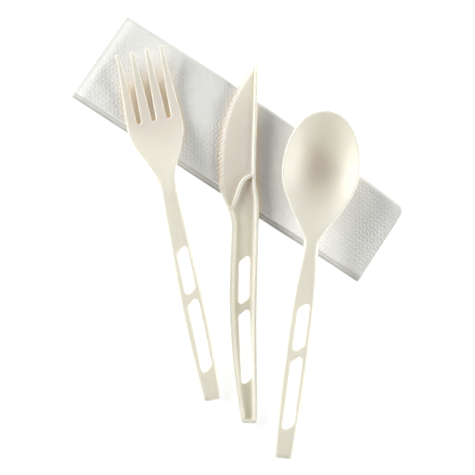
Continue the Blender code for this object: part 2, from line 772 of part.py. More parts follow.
def lay_down(piece, frame, end, turn, support):
    """Lay a piece with its handle's end on the floor and its head on the support."""
    frame.location = (end[0], end[1], 0.0)
    frame.rotation_euler = (0.0, 0.0, turn)
    bpy.context.view_layer.update()
    tree, places = world_tree(piece)
    axis = Vector((-math.sin(turn), math.cos(turn), 0.0))
    origin = Vector((end[0], end[1], 0.0))
    along = np.array([(place - origin).dot(axis) for place in places])
    height = np.array([place.z for place in places])
    over = []
    low = Vector([min(place[i] for place in places) for i in range(3)])
    high = Vector([max(place[i] for place in places) for i in range(3)])
    for x in np.arange(low.x, high.x, PROBE_STEP):
        for y in np.arange(low.y, high.y, PROBE_STEP):
            under = tree.ray_cast(Vector((x, y, low.z - 1.0)), Vector((0.0, 0.0, 1.0)))[0]
            if under is None:
                continue
            hit = support.ray_cast(Vector((x, y, 1.0)), Vector((0.0, 0.0, -1.0)))[0]
            if hit is not None:
                over.append(((under - origin).dot(axis), under.z, hit.z))
    over = np.array(over)

    def lift(tilt):
        return -float((along * math.sin(tilt) + height * math.cos(tilt)).min())

    def shortfall(tilt):
        raised = over[:, 0] * math.sin(tilt) + over[:, 1] * math.cos(tilt) + lift(tilt)
        return float((over[:, 2] + REST_GAP - raised).max())

    flat, steep = math.radians(-6.0), math.radians(12.0)
    for _ in range(40):
        middle = (flat + steep) / 2.0
        if shortfall(middle) > 0.0:
            flat = middle
        else:
            steep = middle
    frame.location.z = lift(steep)
    frame.rotation_euler = (steep, 0.0, turn)


def centre_pack(root, pieces):
    """Move the pack so that the middle of its underside is at the world's origin."""
    bpy.context.view_layer.update()
    places = [place for piece in pieces for place in world_tree(piece)[1]]
    for axis in range(2):
        values = [place[axis] for place in places]
        root.location[axis] = -(min(values) + max(values)) / 2.0
    bpy.context.view_layer.update()


def main():
    """Build the pack."""
    for obj in list(bpy.data.objects):
        bpy.data.objects.remove(obj)
    parts = new_collection("plastic_cutlery_pack")
    cutters = new_collection("cutters")
    ivory = new_material("Moulded ivory bioplastic", (0.72, 0.69, 0.57), 0.38)
    paper = new_material("Embossed white tissue", (0.80, 0.80, 0.78), 0.95)
    root = new_frame("pack", parts)
    names = ("napkin", "fork", "knife", "spoon")
    frames = {name: new_frame(name + "_frame", parts, root) for name in names}
    frames["napkin"].location = (*NAPKIN_CORNER, 0.0)
    frames["napkin"].rotation_euler = (0.0, 0.0, NAPKIN_TURN)
    napkin = make_napkin(parts, frames["napkin"], paper)
    fork = make_fork(parts, cutters, frames["fork"], ivory)
    knife = make_knife(parts, cutters, frames["knife"], ivory)
    spoon = make_spoon(parts, cutters, frames["spoon"], ivory)
    bpy.context.view_layer.update()
    support = world_tree(napkin)[0]
    lay_down(fork, frames["fork"], FORK_END, FORK_TURN, support)
    lay_down(knife, frames["knife"], KNIFE_END, KNIFE_TURN, support)
    lay_down(spoon, frames["spoon"], SPOON_END, SPOON_TURN, support)
    centre_pack(root, (napkin, fork, knife, spoon))


main()
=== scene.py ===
"""Plastic cutlery pack, dressed: a fork, a knife and a spoon of ivory bioplastic on a folded napkin.

The fork and the spoon are made as they would be formed from sheet: a flat blank with rounded
rims is divided into small cells and then formed into its handle and its head. The knife is a
row of rounded sections, and the napkin is a doubled sheet carried round its folds. Sizes are
in metres. Each piece of cutlery has a frame of its own: Y runs from the end of its handle to
its tip, X is to the right and Z is up.
"""

import logging
import math
from collections.abc import Callable
from dataclasses import dataclass, field
from enum import Enum

import bmesh
import bpy
import numpy as np
from mathutils import Euler, Matrix, Vector


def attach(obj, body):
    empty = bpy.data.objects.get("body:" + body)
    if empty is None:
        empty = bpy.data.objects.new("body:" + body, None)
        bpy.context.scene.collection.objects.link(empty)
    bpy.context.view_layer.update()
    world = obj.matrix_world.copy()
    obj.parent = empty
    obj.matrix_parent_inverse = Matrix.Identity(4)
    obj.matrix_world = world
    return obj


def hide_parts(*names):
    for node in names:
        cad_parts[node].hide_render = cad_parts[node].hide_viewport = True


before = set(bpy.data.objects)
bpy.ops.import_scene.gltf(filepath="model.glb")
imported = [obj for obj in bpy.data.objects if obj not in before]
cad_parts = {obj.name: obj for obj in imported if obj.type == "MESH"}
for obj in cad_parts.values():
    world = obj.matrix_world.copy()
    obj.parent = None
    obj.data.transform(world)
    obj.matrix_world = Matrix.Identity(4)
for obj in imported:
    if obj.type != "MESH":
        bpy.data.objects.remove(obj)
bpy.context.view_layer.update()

MM = 0.001
MERGE = 0.00001
FILLET_ROOM = 0.45
SHARP_ANGLE = math.radians(50.0)
WHITE = "#ffffff"
LOG = logging.getLogger("plastic_cutlery_pack")

Loop = list[tuple[float, float]]


class Ease(Enum):
    """How a line passes from one level turning point to the next."""

    IN = "leaves level, then steepens"
    OUT = "arrives level"
    BOTH = "leaves and arrives level"

    def shape(self, share: np.ndarray, power: float) -> np.ndarray:
        """The share of the change that is made at a share of the way.

        Args:
            share: The share of the way, from 0 to 1.
            power: How strongly the line bends.

        Returns:
            The share of the change, from 0 to 1.
        """
        if self is Ease.IN:
            return share ** power
        if self is Ease.OUT:
            return 1.0 - (1.0 - share) ** power
        bent = share ** power
        return bent * bent * (3.0 - 2.0 * bent)


def ease(share: np.ndarray) -> np.ndarray:
    """A share, clipped to 0 and 1, that leaves and arrives level."""
    return Ease.BOTH.shape(np.clip(share, 0.0, 1.0), 1.0)


@dataclass(frozen=True)
class Span:
    """A stretch of a line: its length, the value at its end and how it gets there."""

    length: float
    end: float
    ease: Ease = Ease.BOTH
    power: float = 1.0


@dataclass(frozen=True)
class Line:
    """A curve through level turning points, such as a side or a crest of a piece."""

    start: float
    spans: tuple[Span, ...]

    def at(self, distance: np.ndarray | float) -> np.ndarray:
        """The line's value at a distance along it.

        Args:
            distance: The distance from the line's start.

        Returns:
            The value there.
        """
        distance = np.asarray(distance, dtype=float)
        value = np.full(distance.shape, self.start)
        level = self.start
        done = 0.0
        for span in self.spans:
            share = np.clip((distance - done) / span.length, 0.0, 1.0)
            reached = level + (span.end - level) * span.ease.shape(share, span.power)
            value = np.where(distance > done, reached, value)
            level = span.end
            done += span.length
        return value


@dataclass(frozen=True)
class Seat:
    """Where a piece lies: its frame's origin, its tilt and its turn in degrees."""

    origin: tuple[float, float, float]
    tilt: float
    turn: float

    def matrix(self) -> Matrix:
        """The place as a matrix."""
        turned = Euler((math.radians(self.tilt), 0.0, math.radians(self.turn)))
        return Matrix.Translation(self.origin) @ turned.to_matrix().to_4x4()


def arc(centre: tuple[float, float], radius: float, first: float, last: float, steps: int) -> Loop:
    """Points on an arc.

    Args:
        centre: The arc's centre.
        radius: The arc's radius.
        first: The angle of its first point, in degrees.
        last: The angle of its last point, in degrees.
        steps: How many chords it has.

    Returns:
        The points, both ends included.
    """
    points = []
    for step in range(steps + 1):
        angle = math.radians(first + (last - first) * step / steps)
        points.append((centre[0] + radius * math.cos(angle), centre[1] + radius * math.sin(angle)))
    return points


def run(first: tuple[float, float], last: tuple[float, float], step: float) -> Loop:
    """Evenly spaced points between two others, which are left out.

    Args:
        first: The point before the run.
        last: The point after it.
        step: The spacing, at most.

    Returns:
        The points between them.
    """
    count = math.ceil(math.dist(first, last) / step)
    start = np.array(first)
    way = np.array(last) - start
    return [tuple(start + way * i / count) for i in range(1, count)]


def bowed(first: tuple[float, float], last: tuple[float, float], step: float, power: float) -> Loop:
    """Points along a side that leaves straight up and bends away, its ends left out.

    Args:
        first: The point that the side leaves.
        last: The point that it reaches.
        step: The spacing of the points, at most.
        power: How late the side bends away.

    Returns:
        The points between them.
    """
    points = []
    for _, y in run(first, last, step):
        share = (y - first[1]) / (last[1] - first[1])
        points.append((first[0] + (last[0] - first[0]) * share ** power, y))
    return points


def rounded(corners: Loop, radii: tuple[float, ...], step: float) -> Loop:
    """An outline whose corners are arcs.

    Args:
        corners: The corners, counterclockwise.
        radii: The radius of each corner.
        step: The spacing of the points, at most.

    Returns:
        The outline's points.
    """
    arcs = []
    count = len(corners)
    for i, corner in enumerate(corners):
        here = Vector(corner)
        back = (Vector(corners[i - 1]) - here).normalized()
        ahead = (Vector(corners[(i + 1) % count]) - here).normalized()
        half = back.angle(ahead) / 2.0
        centre = here + (back + ahead).normalized() * radii[i] / math.sin(half)
        first = here + back * radii[i] / math.tan(half) - centre
        last = here + ahead * radii[i] / math.tan(half) - centre
        steps = max(4, round(radii[i] * first.angle(last) / step))
        arcs.append([tuple(centre + first.slerp(last, k / steps) * radii[i]) for k in range(steps + 1)])
    outline = []
    for i, points in enumerate(arcs):
        outline += points + run(points[-1], arcs[(i + 1) % count][0], step)
    return outline


@dataclass
class Blank:
    """A flat plate with rounded rims, cut into small cells so that it can be formed.

    Its upper face is at height 0 and it grows down by its wall.
    """

    outline: Loop
    wall: float
    rounding: float
    holes: list[Loop] = field(default_factory=list)
    cell: tuple[float, float] | None = None
    rim_steps: int = 4
    snap: float = 0.03 * MM

    def build(self) -> bmesh.types.BMesh:
        """The plate as a closed mesh."""
        bm = bmesh.new()
        upper, lower = self.add_rim(bm, self.outline, 1.0)
        for hole in self.holes:
            top, bottom = self.add_rim(bm, hole, -1.0)
            upper += top
            lower += bottom
        for edges in (upper, lower):
            bmesh.ops.triangle_fill(bm, edges=edges, use_beauty=True, use_dissolve=True)
        if self.cell:
            self.divide(bm)
        bmesh.ops.triangulate(bm, faces=[face for face in bm.faces if len(face.verts) > 4])
        bmesh.ops.recalc_face_normals(bm, faces=bm.faces)
        return bm

    def rim_profile(self) -> list[tuple[float, float]]:
        """The rim's section from the upper face to the lower: inset and height."""
        turns = [math.radians(90.0 * step / self.rim_steps) for step in range(self.rim_steps + 1)]
        upper = [(self.rounding * (1.0 - math.sin(a)), -self.rounding * (1.0 - math.cos(a))) for a in turns]
        return upper + [(inset, -self.wall - height) for inset, height in reversed(upper)]

    def add_rim(self, bm: bmesh.types.BMesh, loop: Loop, sense: float) -> tuple[list, list]:
        """Extrude a loop along the rim's section.

        Args:
            bm: The mesh that the rim is added to.
            loop: The rim's outline, counterclockwise.
            sense: 1 where the plate is inside the loop, -1 round a hole.

        Returns:
            The edges along the upper face, and those along the lower one.
        """
        points = np.array(loop)
        ahead = np.roll(points, -1, axis=0) - np.roll(points, 1, axis=0)
        inward = np.stack((-ahead[:, 1], ahead[:, 0]), axis=1) * sense
        inward /= np.linalg.norm(inward, axis=1)[:, None]
        profile = self.rim_profile()
        verts = [bm.verts.new((*place, profile[0][1])) for place in points + inward * profile[0][0]]
        first = [bm.edges.new((verts[i - 1], verts[i])) for i in range(len(verts))]
        edges = first
        for inset, height in profile[1:]:
            grown = bmesh.ops.extrude_edge_only(bm, edges=edges)["geom"]
            ring = [item for item in grown if isinstance(item, bmesh.types.BMVert)]
            for vert, place in zip(ring, points + inward * inset):
                vert.co = (*place, height)
            edges = [item for item in grown if isinstance(item, bmesh.types.BMEdge)]
        return first, edges

    def divide(self, bm: bmesh.types.BMesh) -> None:
        """Cut the plate along evenly spaced lines, both ways.

        Args:
            bm: The mesh to cut.
        """
        places = np.array([vert.co for vert in bm.verts])
        for axis in (1, 0):
            low = math.floor(places[:, axis].min() / self.cell[axis]) + 1
            high = math.ceil(places[:, axis].max() / self.cell[axis])
            normal = Vector((1.0 - axis, axis, 0.0))
            for number in range(low, high):
                bmesh.ops.bisect_plane(
                    bm,
                    geom=bm.verts[:] + bm.edges[:] + bm.faces[:],
                    dist=self.snap,
                    plane_co=normal * number * self.cell[axis],
                    plane_no=normal,
                )


@dataclass
class WindowPlug(Blank):
    """A plug that cuts a window, flared at the upper and the lower face of a channel's floor.

    Its wall is the floor's thickness, and height 0 is the floor's lower face.
    """

    reach: float = 8.0 * MM

    def rim_profile(self) -> list[tuple[float, float]]:
        """The plug's side from the top to the bottom: inset and height."""
        turns = [math.radians(90.0 * step / self.rim_steps) for step in range(self.rim_steps + 1)]
        r = self.rounding
        upper = [(-r * (1.0 - math.sin(a)), self.wall - r * (1.0 - math.cos(a))) for a in turns]
        lower = [(inset, self.wall - height) for inset, height in reversed(upper)]
        return [(-r, self.reach)] + upper + lower + [(-r, -self.reach)]


@dataclass(frozen=True)
class ChannelEdge:
    """The turned-down edge of a handle, and how far it reaches when it lies flat."""

    depth: float = 3.2 * MM
    shoulder: float = 1.4 * MM
    slope: float = math.radians(10.0)

    @property
    def wall(self) -> float:
        """The length of the straight wall below the shoulder."""
        return (self.depth - self.shoulder) / math.cos(self.slope)

    @property
    def excess(self) -> float:
        """How much further the edge reaches flat than turned down."""
        flat = self.wall + self.shoulder * math.pi / 2.0
        return flat - self.wall * math.sin(self.slope) - self.shoulder

    def fold(self, distance: np.ndarray) -> tuple[np.ndarray, np.ndarray]:
        """Where a point of the flat edge goes when the edge is turned down.

        Args:
            distance: The point's distance from the flat rim.

        Returns:
            Its distance in from the turned rim, and its drop below the flat.
        """
        angle = np.clip((distance - self.wall) / self.shoulder, 0.0, math.pi / 2.0)
        past = np.maximum(distance - self.wall - self.shoulder * math.pi / 2.0, 0.0)
        straight = np.minimum(distance, self.wall)
        inset = straight * math.sin(self.slope) + self.shoulder * (1.0 - np.cos(angle)) + past
        drop = (self.wall - straight) * math.cos(self.slope) + self.shoulder * (1.0 - np.sin(angle))
        return inset, drop


@dataclass(frozen=True)
class Windows:
    """The two slanted slots through a handle."""

    width: float = 4.8 * MM
    slant: float = 4.2 * MM
    sharp_corner: float = 1.2 * MM
    blunt_corner: float = 2.4 * MM
    shift: float = 0.3 * MM
    short: float = 20.1 * MM
    long: float = 31.9 * MM
    bar: float = 4.1 * MM
    from_end: float = 12.1 * MM

    def outlines(self, middle: Callable[[float], float], step: float) -> list[Loop]:
        """The outlines of both slots.

        Args:
            middle: Gives the place of the handle's middle line at a station.
            step: The spacing of the points, at most.

        Returns:
            An outline for each slot, counterclockwise.
        """
        second = self.from_end + self.long + self.bar
        radii = (self.sharp_corner, self.blunt_corner, self.sharp_corner, self.blunt_corner)
        slots = []
        for bottom, length in ((self.from_end, self.long), (second, self.short)):
            low = self.shift + middle(bottom)
            high = self.shift + middle(bottom + length)
            half = self.width / 2.0
            corners = [
                (low - half, bottom),
                (low + half, bottom + self.slant),
                (high + half, bottom + self.slant + length),
                (high - half, bottom + length),
            ]
            slots.append(rounded(corners, radii, step))
        return slots


@dataclass
class FormedPiece:
    """What the fork and the spoon share: a blank whose handle is turned down into a channel."""

    name: str
    node: str
    seat: Seat
    handle_length: float
    opens_before: float
    opens_after: float
    sides: Line
    crest: Line
    wall: float = 1.3 * MM
    rounding: float = 0.48 * MM
    end_corner: float = 2.0 * MM
    cell: tuple[float, float] = (0.6 * MM, 0.8 * MM)
    corner_steps: int = 8
    point_step: float = 0.7 * MM
    probe: float = 0.02 * MM
    edge: ChannelEdge = field(default_factory=ChannelEdge)
    windows: Windows = field(default_factory=Windows)

    def middle(self, station: float) -> float:
        """The handle's middle line, which is straight."""
        return 0.0

    def openness(self, station: np.ndarray | float) -> np.ndarray:
        """0 where the handle is a channel, 1 where the head is open."""
        start = self.handle_length - self.opens_before
        return ease((np.asarray(station) - start) / (self.opens_before + self.opens_after))

    def blank_half(self, station: np.ndarray | float) -> np.ndarray:
        """Half the width of the flat blank."""
        return self.sides.at(station) + self.edge.excess * (1.0 - self.openness(station))

    def head_height(self, across: np.ndarray, station: np.ndarray) -> np.ndarray:
        """The height of the head's upper face."""
        raise NotImplementedError

    def blank_outline(self) -> Loop:
        """The outline of the flat blank, counterclockwise from the handle's end."""
        raise NotImplementedError

    def handle_side(self, last: float) -> tuple[Loop, Loop]:
        """The blank's end and its two sides.

        Args:
            last: The station at which the sides stop.

        Returns:
            The right half, from the end's middle up, and the left half, from the top down.
        """
        corner = self.end_corner + self.edge.excess
        low = -self.edge.excess
        side_start = low + corner
        half = float(self.blank_half(side_start))
        turn = arc((half - corner, side_start), corner, -90.0, 0.0, self.corner_steps)
        count = round((last - side_start) / self.point_step)
        stations = [side_start + (last - side_start) * (i + 1) / count for i in range(count)]
        right = run((0.0, low), turn[0], self.point_step) + turn
        right += [(float(self.blank_half(s)), s) for s in stations]
        left = [(-x, y) for x, y in reversed(right)]
        return right, left

    def surface(self, x: np.ndarray, y: np.ndarray) -> np.ndarray:
        """Where points of the blank's upper face go when the piece is formed.

        Args:
            x: The points' places across the blank.
            y: Their places along it.

        Returns:
            One formed place for each point.
        """
        half = self.sides.at(y)
        open_share = self.openness(y)
        turned_half = half + self.edge.excess
        flat_half = half + self.edge.excess * (1.0 - open_share)
        share = np.abs(x) / np.maximum(flat_half, MERGE)
        side = np.where(x < 0.0, -1.0, 1.0)
        corner = self.end_corner + self.edge.excess
        from_side = turned_half * (1.0 - share)
        from_end = y + self.edge.excess
        out_x = np.maximum(corner - from_side, 0.0)
        out_y = np.maximum(corner - from_end, 0.0)
        reach = np.maximum(np.hypot(out_x, out_y), MERGE)
        in_corner = (out_x > 0.0) & (out_y > 0.0)
        nearer_side = from_side <= from_end
        distance = np.where(in_corner, corner - reach, np.minimum(from_side, from_end))
        across = np.where(in_corner, out_x / reach, nearer_side)
        along = np.where(in_corner, out_y / reach, ~nearer_side)
        inset, drop = self.edge.fold(distance)
        pull = self.edge.excess + inset - distance
        handle_y = y + along * pull
        handle_x = side * (turned_half * share - across * pull)
        handle = np.stack((handle_x, handle_y, self.crest.at(handle_y) - drop), axis=1)
        head_x = np.where(open_share >= 1.0, x, side * half * share)
        head = np.stack((head_x, y, self.head_height(head_x, y)), axis=1)
        return handle + (head - handle) * open_share[:, None]

    def build(self) -> bmesh.types.BMesh:
        """The formed piece as a closed mesh, at its seat."""
        holes = self.windows.outlines(self.middle, self.point_step)
        blank = Blank(self.blank_outline(), self.wall, self.rounding, holes, self.cell)
        bm = blank.build()
        x, y, depth = np.array([vert.co for vert in bm.verts]).T
        step = self.probe
        across = self.surface(x + step, y) - self.surface(x - step, y)
        along = self.surface(x, y + step) - self.surface(x, y - step)
        normal = np.cross(across, along)
        normal /= np.linalg.norm(normal, axis=1)[:, None]
        for vert, place in zip(bm.verts, self.surface(x, y) + depth[:, None] * normal):
            vert.co = place
        bm.transform(self.seat.matrix())
        return bm


@dataclass
class Fork(FormedPiece):
    """Four tines in a shallow head."""

    name: str = "fork_moulding"
    node: str = "fork"
    seat: Seat = Seat((-11.5238 * MM, -73.1249 * MM, 0.1839 * MM), 1.6054, 11.9)
    handle_length: float = 101.0 * MM
    opens_before: float = 17.5 * MM
    opens_after: float = 10.0 * MM
    sides: Line = Line(
        4.4 * MM,
        (
            Span(40.0 * MM, 5.5 * MM, power=0.7),
            Span(61.0 * MM, 4.05 * MM),
            Span(25.0 * MM, 12.5 * MM, power=0.95),
            Span(35.0 * MM, 10.9 * MM, power=0.9),
        ),
    )
    crest: Line = Line(
        3.2 * MM,
        (
            Span(95.0 * MM, 11.5 * MM, Ease.OUT, 1.8),
            Span(36.0 * MM, 1.3 * MM),
            Span(30.0 * MM, 7.3 * MM, Ease.IN, 2.0),
        ),
    )
    length: float = 161.0 * MM
    dish: float = 0.8 * MM
    dish_fades_over: float = 35.0 * MM
    tine_count: int = 4
    slot_pitch: float = 6.8 * MM
    slot_width: float = 2.0 * MM
    tine_length: float = 32.2 * MM
    taper: float = 1.5
    tip_width: float = 1.7 * MM
    tip_spread: float = 21.8 * MM
    tip_steps: int = 10
    root_steps: int = 12
    crown: float = 0.14 * MM
    crown_fades_over: float = 4.0 * MM

    def head_height(self, across: np.ndarray, station: np.ndarray) -> np.ndarray:
        """The height of the head's upper face, dished across and crowned on each tine."""
        half = self.sides.at(station)
        fade = ease((self.length - station) / self.dish_fades_over)
        on_tines = ease((station - (self.length - self.tine_length)) / self.crown_fades_over)
        tip_pitch = (self.tip_spread - self.tip_width) / (self.tine_count - 1)
        along_tine = np.clip((station - self.length + self.tine_length) / self.tine_length, 0.0, 1.0)
        pitch = self.slot_pitch + (tip_pitch - self.slot_pitch) * along_tine
        from_tine = np.abs(np.mod(across / pitch, 1.0) - 0.5) * 2.0
        crown = self.crown * on_tines * from_tine ** 2
        return self.crest.at(station) + self.dish * (across / half) ** 2 * fade - crown

    def blank_outline(self) -> Loop:
        """The outline of the flat blank, with the tines and the slots between them."""
        tip_radius = self.tip_width / 2.0
        slot_radius = self.slot_width / 2.0
        tip_pitch = (self.tip_spread - self.tip_width) / (self.tine_count - 1)
        tip_y = self.length - tip_radius
        root_y = self.length - self.tine_length + slot_radius
        right, left = self.handle_side(tip_y - self.point_step)
        outline = right
        for number in reversed(range(self.tine_count)):
            tip_x = (number - (self.tine_count - 1) / 2.0) * tip_pitch
            outline += arc((tip_x, tip_y), tip_radius, 0.0, 180.0, self.tip_steps)
            if number == 0:
                break
            root_x = (number - self.tine_count / 2.0) * self.slot_pitch
            root = arc((root_x, root_y), slot_radius, 0.0, -180.0, self.root_steps)
            outline += bowed(root[0], outline[-1], self.point_step, self.taper)[::-1] + root
            next_x = tip_x - tip_pitch + tip_radius
            outline += bowed(root[-1], (next_x, tip_y), self.point_step, self.taper)
        return outline + left


@dataclass
class Spoon(FormedPiece):
    """An egg-shaped bowl."""

    name: str = "spoon_moulding"
    node: str = "spoon"
    seat: Seat = Seat((19.8762 * MM, -99.3249 * MM, 0.1835 * MM), 1.5977, -7.45)
    handle_length: float = 98.5 * MM
    opens_before: float = 13.0 * MM
    opens_after: float = 9.75 * MM
    sides: Line = Line(
        4.4 * MM,
        (
            Span(42.0 * MM, 5.45 * MM, power=0.7),
            Span(56.5 * MM, 3.5 * MM, power=2.3),
            Span(32.5 * MM, 16.8 * MM, power=0.8),
        ),
    )
    crest: Line = Line(
        3.2 * MM,
        (
            Span(93.0 * MM, 12.0 * MM, Ease.OUT, 1.8),
            Span(38.0 * MM, 9.1 * MM),
            Span(26.4 * MM, 9.7 * MM, Ease.IN, 2.0),
        ),
    )
    widest_at: float = 131.0 * MM
    half_bowl: float = 16.8 * MM
    front_length: float = 26.4 * MM
    depth: float = 7.8 * MM
    fullness: float = 2.15
    run_in: float = 4.0 * MM
    run_length: float = 16.25 * MM

    def head_height(self, across: np.ndarray, station: np.ndarray) -> np.ndarray:
        """The height of the bowl's upper face."""
        past = np.maximum((station - self.widest_at) / self.front_length, 0.0)
        room = 1.0 - past ** self.fullness
        front = self.half_bowl ** 2 * np.sign(room) * np.abs(room) ** (2.0 / self.fullness)
        width_squared = np.where(station > self.widest_at, front, self.sides.at(station) ** 2)
        hollow = (width_squared - across ** 2) / self.half_bowl ** 2
        share = ease((station - self.handle_length + self.run_in) / self.run_length)
        return self.crest.at(station) - self.depth * share * hollow

    def blank_outline(self) -> Loop:
        """The outline of the flat blank: the sides and the round front of the bowl."""
        right, left = self.handle_side(self.widest_at)
        power = 2.0 / self.fullness
        front = []
        steps = round(math.pi * self.half_bowl / self.point_step)
        for step in range(1, steps):
            angle = math.pi * step / steps
            x = self.half_bowl * abs(math.cos(angle)) ** power * math.copysign(1.0, math.cos(angle))
            front.append((x, self.widest_at + self.front_length * math.sin(angle) ** power))
        return right + front + left


def filleted(corners: list[tuple[float, float, float]], steps: int) -> Loop:
    """A closed section whose corners are softened, each over less than half of a side.

    Args:
        corners: Each corner's place and how far along its sides the softening reaches.
        steps: How many chords each softened corner has.

    Returns:
        The section's points, as many for each corner.
    """
    points = np.array([corner[:2] for corner in corners])
    reach = np.array([corner[2] for corner in corners])
    ahead = np.roll(points, -1, axis=0) - points
    length = np.maximum(np.linalg.norm(ahead, axis=1), MERGE)
    ahead /= length[:, None]
    room = FILLET_ROOM * np.minimum(length, np.roll(length, 1))
    reach = np.minimum(reach, room)[:, None]
    first = points - np.roll(ahead, 1, axis=0) * reach
    last = points + ahead * reach
    section = []
    for i in range(len(points)):
        for step in range(steps + 1):
            t = step / steps
            place = first[i] * (1.0 - t) ** 2 + points[i] * 2.0 * t * (1.0 - t) + last[i] * t ** 2
            section.append(tuple(place))
    return section


def tube(places: np.ndarray, merge: float) -> bmesh.types.BMesh:
    """A closed tube through rows of points.

    Args:
        places: The points in 3-D, by row and by place round the tube.
        merge: Points that are nearer together than this become one.

    Returns:
        The tube, with both ends filled.
    """
    rows, around = places.shape[:2]
    bm = bmesh.new()
    bmesh.ops.create_grid(bm, x_segments=around, y_segments=rows - 1, size=0.5)
    for vert in bm.verts:
        column = round((vert.co.x + 0.5) * around) % around
        row = round((vert.co.y + 0.5) * (rows - 1))
        vert.co = places[row, column]
    bmesh.ops.remove_doubles(bm, verts=bm.verts, dist=merge)
    bmesh.ops.holes_fill(bm, edges=bm.edges, sides=0)
    return bm


